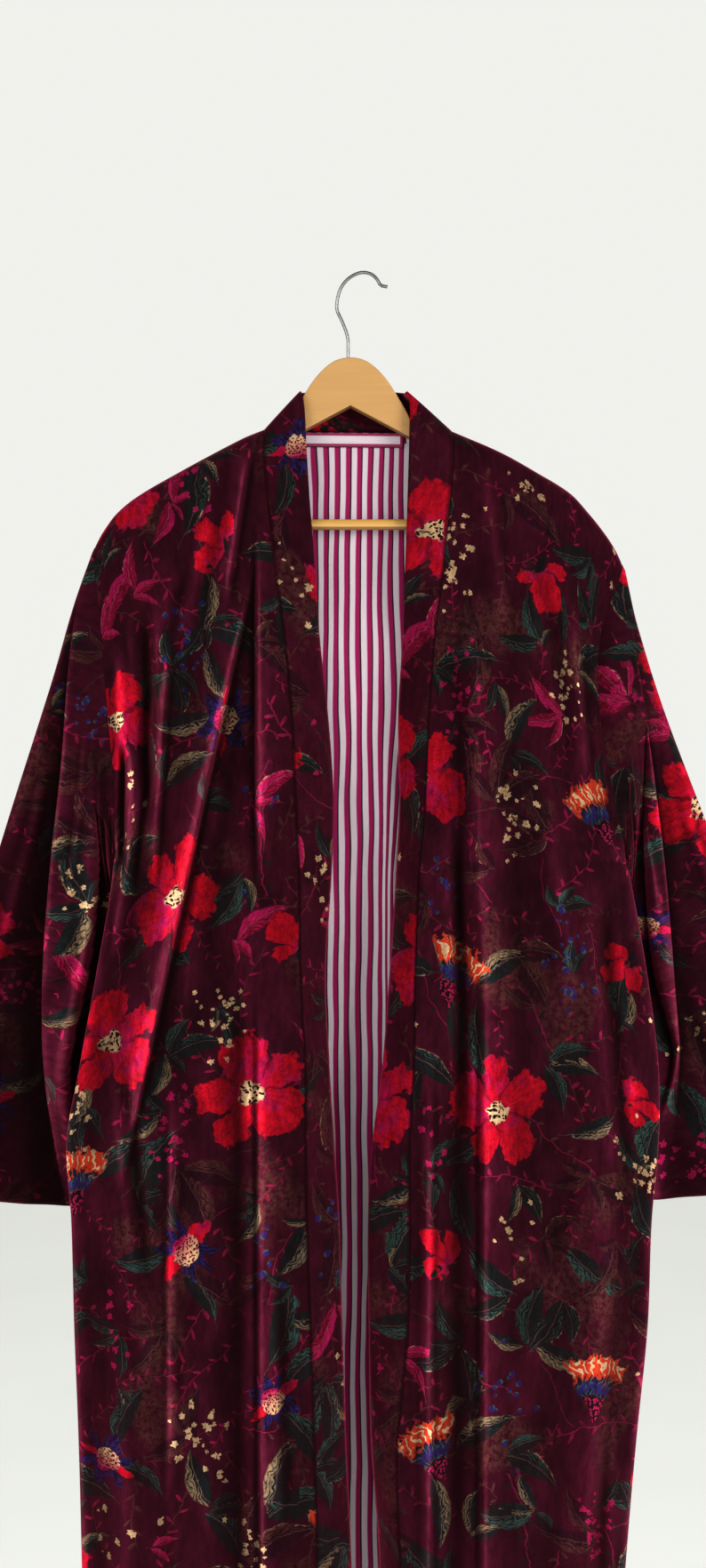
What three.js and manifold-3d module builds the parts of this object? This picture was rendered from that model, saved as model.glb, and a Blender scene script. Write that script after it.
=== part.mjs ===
// A long kimono robe hanging on a flat wooden hanger with a trouser bar and a round wire hook.
// Millimetres, +Z up, the front faces -Y. The origin is the top of the inside of the hook, so
// every `drop` below is a distance under the point that carries the robe. Left and right are
// the viewer's, standing in front of the robe.
//
// Each cut piece of cloth is a thin wall: a grid of points on its outer face, and the same
// points moved inwards by the thickness of the cloth. The two fronts hang over the hanger's
// arms, the sleeves grow out of the armholes, and the neckband runs round the neck and down
// both fronts.

import * as THREE from 'three';
import { mergeVertices } from 'three/addons/utils/BufferGeometryUtils.js';
import Module from 'manifold-3d';

const wasm = await Module();
wasm.setup();

// Driving dimensions
const CLOTH = 2;                // lined velvet
const BAND_CLOTH = 3;           // the folded neckband
const LINING_CLOTH = 1;
const BINDING_CLOTH = 1.2;
const SEAM_GAP = 0.3;
const HALF_GAP = SEAM_GAP / 2;
const HEM_DROP = 1300;
const ARM_COVER = 9.5;          // from the hanger's middle plane to the cloth over its arms
const EDGE_ROLL = 7;            // width of the rounded side edges of the body
const SIDE_BLEND = 60;          // where the body has swelled to its full depth
const EDGE_ROLL_SHARE = 0.3;    // share of that depth which the rounded edge takes
const FOLD_MARGIN = 30;         // folds fade out over this margin at the side edges
const BAND_WIDTH = 38;
const BINDING_WIDTH = 13.5;
const BINDING_LEFT = -61;
const BINDING_RIGHT = 37;
const BINDING_COLUMNS = 8;
const ARMHOLE_END = 0.25;       // share of the side's length that the armhole takes
const ARMHOLE_HALF_DEPTH = 10;  // of the open armhole, next to the underarm
const ARMHOLE_SPREAD = 150;     // it reaches the body's own depth this far up
const SIDE_SEAM_START = 40;     // the side edges round off over this stretch, to the underarm
const NECK_BLEND = 25;          // how fast the back neckline leaves the shoulder
const WOOD_THICKNESS = 11;
const WOOD_BEVEL = 1.2;
const HANGER_CENTRE = -10.4;    // the hanger sits a little left of its hook's top
const DOME_DROP = 76;
const HANGER_SLOPE = Math.tan(28 * Math.PI / 180);
const BAR_DROP = 225.5;
const BAR_RADIUS = 4.8;
const BAR_HALF_LENGTH = 172;
const PIN_RADIUS = 3;
const PIN_LENGTH = 8;
const WIRE_RADIUS = 1.5;

const LEFT = -1;
const RIGHT = 1;

const COLOURS = {
  velvet: 0x3f1427,
  lining: 0xc9c3bd,
  binding: 0x9e2159,
  wood: 0xdda469,
  bar: 0xb98a3c,
  steel: 0xa9aaa8,
};

// Edges of the two fronts at each height: the side seam, the seam that joins the neckband
// and the neckband's free edge
const BODY_EDGES = [
  { drop: 140, sideL: -240, seamL: -87.4, freeL: -50.0, freeR: 44.5, seamR: 80.5, sideR: 234 },
  { drop: 172, sideL: -240, seamL: -87.2, freeL: -49.2, freeR: 42.0, seamR: 81.0, sideR: 234 },
  { drop: 252, sideL: -239, seamL: -79.0, freeL: -42.8, freeR: 38.8, seamR: 73.5, sideR: 235 },
  { drop: 330, sideL: -231, seamL: -68.7, freeL: -37.5, freeR: 36.2, seamR: 64.2, sideR: 211 },
  { drop: 400, sideL: -225, seamL: -62.3, freeL: -30.0, freeR: 32.4, seamR: 58.9, sideR: 211 },
  { drop: 473, sideL: -220, seamL: -58.8, freeL: -25.2, freeR: 33.5, seamR: 55.4, sideR: 224 },
  { drop: 540, sideL: -222, seamL: -55.6, freeL: -27.1, freeR: 30.3, seamR: 49.7, sideR: 238 },
  { drop: 630, sideL: -236, seamL: -54.0, freeL: -32.2, freeR: 24.2, seamR: 45.9, sideR: 253 },
  { drop: 710, sideL: -250, seamL: -49.5, freeL: -28.8, freeR: 17.9, seamR: 44.8, sideR: 262 },
  { drop: 775, sideL: -261, seamL: -49.2, freeL: -24.8, freeR: 9.1, seamR: 41.0, sideR: 262 },
  { drop: 845, sideL: -257, seamL: -48.3, freeL: -20.0, freeR: 5.2, seamR: 40.9, sideR: 256 },
  { drop: 940, sideL: -255, seamL: -44.8, freeL: -17.3, freeR: 5.9, seamR: 39.0, sideR: 253 },
  { drop: 1040, sideL: -252, seamL: -41.5, freeL: -14.0, freeR: 7.7, seamR: 30.0, sideR: 244 },
  { drop: 1140, sideL: -250, seamL: -39.0, freeL: -9.5, freeR: 15.0, seamR: 33.0, sideR: 236 },
  { drop: 1300, sideL: -247, seamL: -36.0, freeL: -6.0, freeR: 20.0, seamR: 44.0, sideR: 225 },
];

// Depth of the fronts, the back and the side seams at each height
const BODY_DEPTHS = [
  { drop: 140, front: -9.5, back: 10.5, side: 0 },
  { drop: 200, front: -12, back: 11.5, side: -1 },
  { drop: 300, front: -17, back: 13, side: -3 },
  { drop: 400, front: -23, back: 16, side: -7 },
  { drop: 520, front: -29, back: 20, side: -14 },
  { drop: 700, front: -36, back: 26, side: -24 },
  { drop: 850, front: -40, back: 30, side: -24 },
  { drop: 1100, front: -44, back: 35, side: -14 },
  { drop: 1300, front: -46, back: 38, side: -8 },
];

// The shoulders: how far the top edge lies under the hook, from the neck to the armhole
const SHOULDER_LEFT = [
  { x: -240, drop: 246.5 },
  { x: -233, drop: 233.5 },
  { x: -221, drop: 216.5 },
  { x: -205, drop: 202.5 },
  { x: -177, drop: 185.5 },
  { x: -109, drop: 149 },
  { x: -87.4, drop: 140 },
];
const SHOULDER_RIGHT = [
  { x: 80.5, drop: 141.5 },
  { x: 122, drop: 159.5 },
  { x: 154, drop: 177 },
  { x: 186, drop: 197.5 },
  { x: 202, drop: 216 },
  { x: 218, drop: 237 },
  { x: 234, drop: 261.5 },
];

// Folds of the left front. Each runs from one height to another, leaning from x to xEnd, and
// stands out by `rise` (negative rises are valleys), with its own reach to either side.
const FOLDS_FRONT_LEFT = [
  { from: 160, to: 300, x: -104, xEnd: -122, rise: 4, left: 18, right: 14 },
  { from: 300, to: 790, x: -112, xEnd: -216, rise: 9, left: 42, right: 14 },
  { from: 400, to: 680, x: -112, xEnd: -150, rise: -6, left: 20, right: 26 },
  { from: 300, to: 490, x: -195, xEnd: -190, rise: -5, left: 16, right: 16 },
  { from: 560, to: 1300, x: -93, xEnd: -84, rise: 8, left: 9, right: 44 },
  { from: 620, to: 1300, x: -113, xEnd: -110, rise: -8, left: 30, right: 18 },
  { from: 820, to: 1300, x: -165, xEnd: -158, rise: 5, left: 26, right: 26 },
];
const FOLDS_FRONT_RIGHT = [
  { from: 330, to: 700, x: 112, xEnd: 103, rise: 7, left: 20, right: 34 },
  { from: 660, to: 1000, x: 99, xEnd: 96, rise: 7, left: 18, right: 34 },
  { from: 540, to: 760, x: 90, xEnd: 78, rise: -6, left: 14, right: 14 },
  { from: 700, to: 1300, x: 76, xEnd: 74, rise: -9, left: 14, right: 18 },
  { from: 760, to: 1300, x: 180, xEnd: 172, rise: -4, left: 34, right: 30 },
];
const FOLDS_BACK = [
  { from: 420, to: 1300, x: -150, xEnd: -168, rise: 8, left: 30, right: 22 },
  { from: 520, to: 1300, x: -96, xEnd: -104, rise: -6, left: 24, right: 26 },
  { from: 330, to: 1300, x: 8, xEnd: -6, rise: 5, left: 34, right: 30 },
  { from: 480, to: 1300, x: 88, xEnd: 92, rise: -6, left: 26, right: 24 },
  { from: 400, to: 1300, x: 142, xEnd: 150, rise: 8, left: 24, right: 34 },
];

// The sleeves at each share of their length. The top edge is the folded outer edge and the
// under edge is the underarm seam. `middle` and `half` are the depth of the flattened tube,
// and `lap` is the share of the width where its front folds over itself.
const SLEEVE_LEFT = [
  { share: 0, topX: -240, topDrop: 246.5, underX: -219, underDrop: 517, middle: -6, half: 15, lap: 0 },
  { share: 0.1, topX: -257, topDrop: 294, underX: -226, underDrop: 541, middle: 0, half: 15, lap: 0.05 },
  { share: 0.3, topX: -283, topDrop: 375, underX: -227, underDrop: 585, middle: 7, half: 15, lap: 0.25 },
  { share: 0.5, topX: -320, topDrop: 488, underX: -235, underDrop: 645, middle: 12, half: 15, lap: 0.42 },
  { share: 0.7, topX: -359, topDrop: 612, underX: -246, underDrop: 712, middle: 15, half: 14, lap: 0.62 },
  { share: 0.86, topX: -395, topDrop: 722, underX: -252, underDrop: 778, middle: 16, half: 13, lap: 0.8 },
  { share: 1, topX: -430, topDrop: 831, underX: -258, underDrop: 842, middle: 16, half: 12, lap: 0.95 },
];
const SLEEVE_RIGHT = [
  { share: 0, topX: 234, topDrop: 261.5, underX: 235, underDrop: 528, middle: -6, half: 15, lap: 0 },
  { share: 0.1, topX: 246, topDrop: 314, underX: 242, underDrop: 549, middle: 0, half: 15, lap: 0.1 },
  { share: 0.3, topX: 277, topDrop: 403, underX: 245, underDrop: 592, middle: 7, half: 15, lap: 0.2 },
  { share: 0.5, topX: 317, topDrop: 505, underX: 252, underDrop: 642, middle: 12, half: 15, lap: 0.34 },
  { share: 0.7, topX: 361, topDrop: 620, underX: 261, underDrop: 704, middle: 15, half: 14, lap: 0.55 },
  { share: 0.86, topX: 404, topDrop: 722, underX: 281, underDrop: 776, middle: 16, half: 13, lap: 0.75 },
  { share: 1, topX: 450, topDrop: 822, underX: 308, underDrop: 836, middle: 16, half: 12, lap: 0.9 },
];
const SLEEVE_STATIONS = [0.05, 0.1, 0.17, 0.25, 0.34, 0.44, 0.54, 0.64, 0.74, 0.84, 0.92, 1];
const SLEEVE_SETTLED = 0.3;     // the sleeve has its own section from this share on
const TOP_ROUND = 12;           // rounding of its folded top edge and of its underarm edge
const UNDER_ROUND = 14;
const LAP_STEP = 9;             // how far the folded-over front stands out
const LAP_REACH = 0.08;         // share of the width that the step takes
const LAP_START = 0.2;          // share of the length over which it grows
const LAP_END_SLOPE = 5;        // it fades out over the last fifth before the underarm edge

// The free edge of the neckband where it rises round the neck, from the shoulder line forwards
const COLLAR_LEFT = { x: -57, drop: 106.5 };
const COLLAR_RIGHT = { x: 39, drop: 106.5 };
const COLLAR_BACK_DROP = 101;
const COLLAR_BACK_DEPTH = 16;
// The first points of the free edge in front: `across` is the share of the way from the
// collar's point to the edge below, and `below` is the drop under the collar's point
const COLLAR_FALL = [
  { across: 0, forward: HALF_GAP, below: 0 },
  { across: 0.3, forward: 8.5, below: 1 },
  { across: 0.6, forward: 12, below: 6 },
  { across: 0.85, forward: 13, below: 20 },
  { across: 0.95, forward: 14, below: 44 },
];
const BAND_CELLS = 3;
const BAND_CROWN = 2;
const BAND_TURN = 0.8;          // how much of the band's lost width has turned inwards
const BAND_TURN_START = 20;     // it starts to turn this far under the bar
const BAND_TURN_REACH = 100;
const NECK_STATIONS = 14;

// Rows of the body's grids. The first ones roll over the shoulder, given as angles, and the
// rest are shares of the way down to the hem, close together round the underarm point.
const ROLL_ANGLES = [0, 35, 65];
const ROW_SHARES = [
  0, 0.02, 0.06, 0.11, 0.165, 0.21, 0.2385, 0.246, ARMHOLE_END,
  0.275, 0.31, 0.36, 0.42, 0.49, 0.56, 0.63, 0.71, 0.79, 0.86, 0.93, 1,
];
const ARMHOLE_ROWS = ROLL_ANGLES.length + ROW_SHARES.indexOf(ARMHOLE_END) + 1;
const UNDERARM_CLOSE = 15;      // the armhole closes over this last stretch
const UNDERARM_EASE = 1.6;      // the sleeve stands this much further off at the underarm point

// Columns of the grids: distances from the rounded side edge, then shares of the rest
const EDGE_COLUMNS = [0, 2];
const FRONT_LEFT_COLUMNS = [0, 0.13, 0.27, 0.42, 0.56, 0.66, 0.74, 0.79, 0.84, 0.92, 1];
const FRONT_RIGHT_COLUMNS = [0, 0.15, 0.3, 0.45, 0.58, 0.68, 0.76, 0.84, 0.92, 1];
const BACK_COLUMNS = 14;

const clamp = (value, low = 0, high = 1) => Math.min(Math.max(value, low), high);
const mix = (a, b, share) => a + (b - a) * share;
const ease = (share) => {
  const s = clamp(share);
  return s * s * (3 - 2 * s);
};
// Rises like a quarter circle: steep at first, then level
const quarterRound = (share) => Math.sqrt(1 - (1 - clamp(share)) ** 2);

// Reads a column of a table between its rows, on a smooth curve through them
function read(table, key, value, column) {
  const last = table.length - 1;
  const at = clamp(value, table[0][key], table[last][key]);
  let i = 0;
  while (i < last - 1 && table[i + 1][key] < at) i += 1;
  const slope = (k) => {
    const before = table[Math.max(k - 1, 0)];
    const after = table[Math.min(k + 1, last)];
    return (after[column] - before[column]) / (after[key] - before[key]);
  };
  const step = table[i + 1][key] - table[i][key];
  const t = (at - table[i][key]) / step;
  const t2 = t * t;
  const t3 = t2 * t;
  return (2 * t3 - 3 * t2 + 1) * table[i][column]
    + (t3 - 2 * t2 + t) * step * slope(i)
    + (3 * t2 - 2 * t3) * table[i + 1][column]
    + (t3 - t2) * step * slope(i + 1);
}

const edge = (drop, column) => read(BODY_EDGES, 'drop', drop, column);
const depth = (drop, column) => read(BODY_DEPTHS, 'drop', drop, column);
const neckLeft = SHOULDER_LEFT.at(-1);
const neckRight = SHOULDER_RIGHT[0];

// Height of the top edge of the fronts and the back: shoulders, with the neckline between
function topDrop(x) {
  if (x <= neckLeft.x) return read(SHOULDER_LEFT, 'x', x, 'drop');
  if (x >= neckRight.x) return read(SHOULDER_RIGHT, 'x', x, 'drop');
  return mix(neckLeft.drop, neckRight.drop, (x - neckLeft.x) / (neckRight.x - neckLeft.x));
}

// 0 on the shoulders and 1 well inside the back neckline, which leaves them in a round bend
function insideNeck(x) {
  return quarterRound(Math.min(x - neckLeft.x, neckRight.x - x) / NECK_BLEND);
}

// How far the folds move the cloth outwards at one place
function foldRise(folds, x, drop) {
  let rise = 0;
  for (const fold of folds) {
    const along = (drop - fold.from) / (fold.to - fold.from);
    if (along < 0 || along > 1) continue;
    const away = x - mix(fold.x, fold.xEnd, along);
    const reach = away < 0 ? fold.left : fold.right;
    const fadeOut = fold.to === HEM_DROP ? 1 : ease((1 - along) * 4);
    rise += fold.rise * ease(1 - Math.abs(away) / reach) * ease(along * 4) * fadeOut;
  }
  return rise;
}

// Depth of the side edge of a front or of the back. Above the underarm the armhole keeps the
// two apart, and below it they meet at the side seam.
function sideEdgeDepth(isFront, drop, underarmDrop) {
  const outward = isFront ? -1 : 1;
  const meeting = depth(drop, 'side');
  const closed = meeting + outward * HALF_GAP;
  if (drop >= underarmDrop) return closed;
  const opening = quarterRound((underarmDrop - drop) / UNDERARM_CLOSE);
  const ownDepth = depth(drop, isFront ? 'front' : 'back');
  const nearUnderarm = ease(1 - (underarmDrop - drop) / ARMHOLE_SPREAD);
  const open = mix(ownDepth, meeting + outward * ARMHOLE_HALF_DEPTH, nearUnderarm);
  return mix(closed, open, opening);
}

// Depth of the outer face of the body at a place `inward` from its side edge
function bodyDepth(isFront, x, drop, inward, underarmDrop, folds) {
  const full = depth(drop, isFront ? 'front' : 'back');
  const atEdge = sideEdgeDepth(isFront, drop, underarmDrop);
  const roll = EDGE_ROLL_SHARE * quarterRound(inward / EDGE_ROLL);
  const swell = (1 - EDGE_ROLL_SHARE) * ease((inward - EDGE_ROLL / 2) / SIDE_BLEND);
  const closed = ease(1 - (underarmDrop - drop) / SIDE_SEAM_START);
  const slope = ease(inward / SIDE_BLEND);
  const blend = mix(slope, roll + swell, closed);
  const outward = isFront ? -1 : 1;
  const settle = ease(inward / FOLD_MARGIN) * foldRise(folds, x, drop);
  return mix(atEdge, full, blend) + outward * settle;
}

// A point of the body's grid, rolled over the shoulder in its first rows
function bodyPoint(isFront, x0, row, xAt, inwardAt, underarmDrop, folds) {
  const outward = isFront ? -1 : 1;
  const top = topDrop(x0);
  const level = isFront ? 0 : insideNeck(x0);
  const rolling = row < ROLL_ANGLES.length;
  const angle = rolling ? ROLL_ANGLES[row] * Math.PI / 180 : Math.PI / 2;
  const share = rolling ? 0 : ROW_SHARES[row - ROLL_ANGLES.length];
  const rolledDrop = top + ARM_COVER * (1 - Math.cos(angle));
  const drop = mix(rolledDrop, HEM_DROP, share);
  const x = xAt(drop);
  const full = bodyDepth(isFront, x, drop, inwardAt(x, drop), underarmDrop, folds);
  const rolled = outward * HALF_GAP + (full - outward * HALF_GAP) * Math.sin(angle);
  return new THREE.Vector3(x, mix(rolled, full, level), -drop);
}

function underarmDropAt(side) {
  const top = side === LEFT ? SHOULDER_LEFT[0].drop : SHOULDER_RIGHT.at(-1).drop;
  return mix(top + ARM_COVER, HEM_DROP, ARMHOLE_END);
}

const ROWS = ROLL_ANGLES.length + ROW_SHARES.length;
const rowsOf = (makeRow, count = ROWS) => Array.from({ length: count }, (_, row) => makeRow(row));

function frontGrid(side) {
  const isLeft = side === LEFT;
  const sideColumn = isLeft ? 'sideL' : 'sideR';
  const seamColumn = isLeft ? 'seamL' : 'seamR';
  const shares = isLeft ? FRONT_LEFT_COLUMNS : FRONT_RIGHT_COLUMNS;
  const folds = isLeft ? FOLDS_FRONT_LEFT : FOLDS_FRONT_RIGHT;
  const underarm = underarmDropAt(side);
  const inwards = -side;
  const sideX = (drop) => edge(drop, sideColumn);
  const seamX = (drop) => edge(drop, seamColumn) - inwards * SEAM_GAP;
  const inwardAt = (x, drop) => Math.abs(x - sideX(drop));
  const column = (place) => (drop) => (place.offset === undefined
    ? mix(sideX(drop) + inwards * EDGE_ROLL, seamX(drop), place.share)
    : sideX(drop) + inwards * place.offset);
  const places = [...EDGE_COLUMNS.map((offset) => ({ offset })), ...shares.map((share) => ({ share }))];
  const topX = (place) => column(place)(isLeft ? neckLeft.drop : neckRight.drop);
  return rowsOf((row) => places.map((place) => bodyPoint(
    true, topX(place), row, column(place), inwardAt, underarm, folds,
  )));
}

function backGrid() {
  const leftX = (drop) => edge(drop, 'sideL');
  const rightX = (drop) => edge(drop, 'sideR');
  const inwardAt = (x, drop) => Math.min(x - leftX(drop), rightX(drop) - x);
  const places = [
    ...EDGE_COLUMNS.map((offset) => (drop) => leftX(drop) + offset),
    ...Array.from({ length: BACK_COLUMNS + 1 }, (_, i) => (drop) => (
      mix(leftX(drop) + EDGE_ROLL, rightX(drop) - EDGE_ROLL, i / BACK_COLUMNS))),
    ...EDGE_COLUMNS.toReversed().map((offset) => (drop) => rightX(drop) - offset),
  ];
  return rowsOf((row) => places.map((xAt) => {
    const x0 = xAt(neckLeft.drop);
    const underarm = underarmDropAt(x0 < 0 ? LEFT : RIGHT);
    return bodyPoint(false, x0, row, xAt, inwardAt, underarm, FOLDS_BACK);
  }));
}

// Unit vectors square to a grid of points, on the side that `outside` says is out
function normalsOf(grid, outside, isRing = false) {
  const rows = grid.length;
  const columns = grid[0].length;
  const wrap = (c) => (isRing ? (c + columns) % columns : clamp(c, 0, columns - 1));
  return grid.map((line, r) => line.map((point, c) => {
    const down = grid[Math.min(r + 1, rows - 1)][c].clone().sub(grid[Math.max(r - 1, 0)][c]);
    const across = line[wrap(c + 1)].clone().sub(line[wrap(c - 1)]);
    const normal = across.cross(down).normalize();
    return normal.dot(outside(point, r, c)) < 0 ? normal.negate() : normal;
  }));
}

// Points moved against their normals. `squareTo` lists the axes that a seam's face is square
// to at one place, so that the two pieces meet there face to face.
function insetGrid(grid, normals, distance, squareTo = () => []) {
  return grid.map((line, r) => line.map((point, c) => {
    const normal = normals[r][c].clone();
    for (const axis of squareTo(r, c)) normal.addScaledVector(axis, -normal.dot(axis));
    return point.clone().addScaledVector(normal.normalize(), -distance);
  }));
}

// A closed wall between two grids of the same size; a ring closes on itself across
function wallBetween(outer, inner, isRing = false) {
  const rows = outer.length;
  const columns = outer[0].length;
  const points = [...outer.flat(), ...inner.flat()];
  const index = (layer, r, c) => layer * rows * columns + r * columns + (c % columns);
  const triangles = [];
  const quad = (a, b, c, d) => triangles.push(a, b, c, a, c, d);
  const lastColumn = isRing ? columns : columns - 1;
  for (let r = 0; r < rows - 1; r += 1) {
    for (let c = 0; c < lastColumn; c += 1) {
      quad(index(0, r, c), index(0, r, c + 1), index(0, r + 1, c + 1), index(0, r + 1, c));
      quad(index(1, r, c), index(1, r + 1, c), index(1, r + 1, c + 1), index(1, r, c + 1));
    }
  }
  for (let c = 0; c < lastColumn; c += 1) {
    quad(index(0, 0, c), index(1, 0, c), index(1, 0, c + 1), index(0, 0, c + 1));
    quad(index(0, rows - 1, c + 1), index(1, rows - 1, c + 1), index(1, rows - 1, c), index(0, rows - 1, c));
  }
  if (!isRing) {
    const c = columns - 1;
    for (let r = 0; r < rows - 1; r += 1) {
      quad(index(0, r + 1, 0), index(1, r + 1, 0), index(1, r, 0), index(0, r, 0));
      quad(index(0, r, c), index(1, r, c), index(1, r + 1, c), index(0, r + 1, c));
    }
  }
  const geometry = new THREE.BufferGeometry();
  geometry.setAttribute('position', new THREE.Float32BufferAttribute(points.flatMap((p) => p.toArray()), 3));
  geometry.setIndex(triangles);
  return turnedOut(geometry);
}

function volumeOf(geometry) {
  const position = geometry.getAttribute('position');
  const index = geometry.getIndex();
  const [a, b, c] = [new THREE.Vector3(), new THREE.Vector3(), new THREE.Vector3()];
  let six = 0;
  for (let i = 0; i < index.count; i += 3) {
    a.fromBufferAttribute(position, index.getX(i));
    b.fromBufferAttribute(position, index.getX(i + 1));
    c.fromBufferAttribute(position, index.getX(i + 2));
    six += a.dot(b.cross(c));
  }
  return six / 6;
}

// The same triangles, wound so that their faces point out
function turnedOut(geometry) {
  if (volumeOf(geometry) > 0) return geometry;
  const old = geometry.getIndex().array;
  const turned = Array.from(old, (_, i) => old[i - (i % 3) + [0, 2, 1][i % 3]]);
  geometry.setIndex(turned);
  return geometry;
}

const X_AXIS = new THREE.Vector3(1, 0, 0);
const Y_AXIS = new THREE.Vector3(0, 1, 0);
const Z_AXIS = new THREE.Vector3(0, 0, 1);
const FORWARD = new THREE.Vector3(0, -1, 0.2);
const BACKWARD = new THREE.Vector3(0, 1, 0.2);

// Keeps the walls of a body panel square to its seams: level over the shoulder, and across
// the side seam and the armhole
function panelSeams(sideColumns, seamColumns) {
  return (r, c) => {
    const axes = r === 0 ? [Y_AXIS] : [];
    if (sideColumns.includes(c)) axes.push(r >= ARMHOLE_ROWS - 1 ? Y_AXIS : X_AXIS);
    if (seamColumns.includes(c)) axes.push(X_AXIS);
    return axes;
  };
}

function mesh(name, geometry, colour, roughness = 0.9, metalness = 0) {
  const material = new THREE.MeshStandardMaterial({ color: colour, roughness, metalness });
  const result = new THREE.Mesh(geometry, material);
  result.name = name;
  return result;
}

function panelWalls() {
  const frontLeft = frontGrid(LEFT);
  const frontRight = frontGrid(RIGHT);
  const back = backGrid();
  const lastOf = (grid) => grid[0].length - 1;
  const leftInner = insetGrid(frontLeft, normalsOf(frontLeft, () => FORWARD), CLOTH,
    panelSeams([0], [lastOf(frontLeft)]));
  const rightInner = insetGrid(frontRight, normalsOf(frontRight, () => FORWARD), CLOTH,
    panelSeams([0], [lastOf(frontRight)]));
  const backNormals = normalsOf(back, () => BACKWARD);
  const backInner = insetGrid(back, backNormals, CLOTH, panelSeams([0, lastOf(back)], []));
  return {
    frontLeft: { outer: frontLeft, inner: leftInner },
    frontRight: { outer: frontRight, inner: rightInner },
    back: { outer: back, inner: backInner, normals: backNormals },
  };
}

// The first ring of a sleeve: the armhole's edges of the front and the back, a seam away
function armholeRing(front, back, side) {
  const backColumn = side === LEFT ? 0 : back[0].length - 1;
  const frontEdge = front.slice(0, ARMHOLE_ROWS).map((line) => line[0]);
  const backEdge = back.slice(0, ARMHOLE_ROWS).map((line) => line[backColumn]);
  const underarmZ = frontEdge.at(-1).z;
  return [...frontEdge, ...backEdge.toReversed()].map((point) => {
    const nearUnderarm = ease(1 - (point.z - underarmZ) / UNDERARM_CLOSE);
    return point.clone().add(new THREE.Vector3(side * (SEAM_GAP + UNDERARM_EASE * nearUnderarm), 0, 0));
  });
}

function sleeveWall(front, back, side) {
  const table = side === LEFT ? SLEEVE_LEFT : SLEEVE_RIGHT;
  const first = armholeRing(front.outer, back.outer, side);
  const firstInner = armholeRing(front.inner, back.inner, side);
  const top = first[0];
  const under = first[ARMHOLE_ROWS - 1];
  // shares of the way from the top edge to the underarm, as the armhole's own rows have them
  const shares = first.slice(0, ARMHOLE_ROWS).map((p) => (top.z - p.z) / (top.z - under.z));
  const rings = SLEEVE_STATIONS.map((share) => {
    const value = (column) => read(table, 'share', share, column);
    const topPoint = new THREE.Vector3(value('topX'), 0, -value('topDrop'));
    const underPoint = new THREE.Vector3(value('underX'), 0, -value('underDrop'));
    const own = ease(share / SLEEVE_SETTLED);
    const width = topPoint.distanceTo(underPoint);
    const point = (k, isFront) => {
      const across = shares[k];
      const outward = isFront ? -1 : 1;
      const roundTop = quarterRound(across * width / TOP_ROUND);
      const roundUnder = quarterRound((1 - across) * width / UNDER_ROUND);
      const bulge = Math.max(value('half') * roundTop * roundUnder, HALF_GAP);
      const lapped = isFront ? LAP_STEP * (ease((across - value('lap')) / LAP_REACH) - 0.5) : 0;
      const lapFade = ease(share / LAP_START) * ease((1 - across) * LAP_END_SLOPE);
      const lapRise = lapped * roundTop * roundUnder * lapFade;
      const ownDepth = value('middle') + outward * (bulge + lapRise);
      const armholeDepth = first[isFront ? k : 2 * ARMHOLE_ROWS - 1 - k].y;
      const result = topPoint.clone().lerp(underPoint, across);
      result.y = mix(armholeDepth, ownDepth, own);
      return result;
    };
    return [
      ...shares.map((_, k) => point(k, true)),
      ...shares.map((_, k) => point(ARMHOLE_ROWS - 1 - k, false)),
    ];
  });
  const outer = [first, ...rings];
  const sumOf = (line) => line.reduce((sum, p) => sum.add(p), new THREE.Vector3());
  const centreOf = (line) => sumOf(line).divideScalar(line.length);
  const centres = outer.map(centreOf);
  const normals = normalsOf(outer, (point, r) => point.clone().sub(centres[r]), true);
  const inner = insetGrid(outer, normals, CLOTH);
  inner[0] = firstInner;
  return wallBetween(outer, inner, true);
}

// The free edge of the neckband beside one row of a front
function freeEdgePoint(side, seam, row) {
  const isLeft = side === LEFT;
  const collar = isLeft ? COLLAR_LEFT : COLLAR_RIGHT;
  const drop = -seam.z;
  const x = edge(drop, isLeft ? 'freeL' : 'freeR');
  const width = Math.abs(seam.x - x);
  if (row < COLLAR_FALL.length) {
    const fall = COLLAR_FALL[row];
    return new THREE.Vector3(mix(collar.x, x, fall.across), -fall.forward, -collar.drop - fall.below);
  }
  // where the band shows narrow it has turned inwards, but not in front of the bar
  const lostWidth = Math.sqrt(Math.max(BAND_WIDTH ** 2 - width ** 2, 0));
  const turned = BAND_TURN * lostWidth * ease((drop - BAR_DROP - BAND_TURN_START) / BAND_TURN_REACH);
  return new THREE.Vector3(x, seam.y - 1 + turned, seam.z);
}

function bandStrip(seam, free, crown, outside) {
  return Array.from({ length: BAND_CELLS + 1 }, (_, i) => {
    const share = i / BAND_CELLS;
    const bow = crown * Math.sin(Math.PI * share);
    return seam.clone().lerp(free, share).addScaledVector(outside, bow);
  });
}

function frontBandWall(front, side) {
  const last = front[0].length - 1;
  const shift = new THREE.Vector3(-side * SEAM_GAP, 0, 0);
  const grid = front.map((line, row) => {
    const seam = line[last].clone().add(shift);
    const free = freeEdgePoint(side, seam, row);
    return bandStrip(seam, free, row === 0 ? 0 : BAND_CROWN, new THREE.Vector3(0, -1, 0));
  });
  const outside = () => new THREE.Vector3(side * 0.5, -1, 0.5);
  const inner = insetGrid(grid, normalsOf(grid, outside), BAND_CLOTH,
    (r, c) => [...(r === 0 ? [Y_AXIS] : []), ...(c === 0 ? [X_AXIS] : [])]);
  return wallBetween(grid, inner);
}

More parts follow.
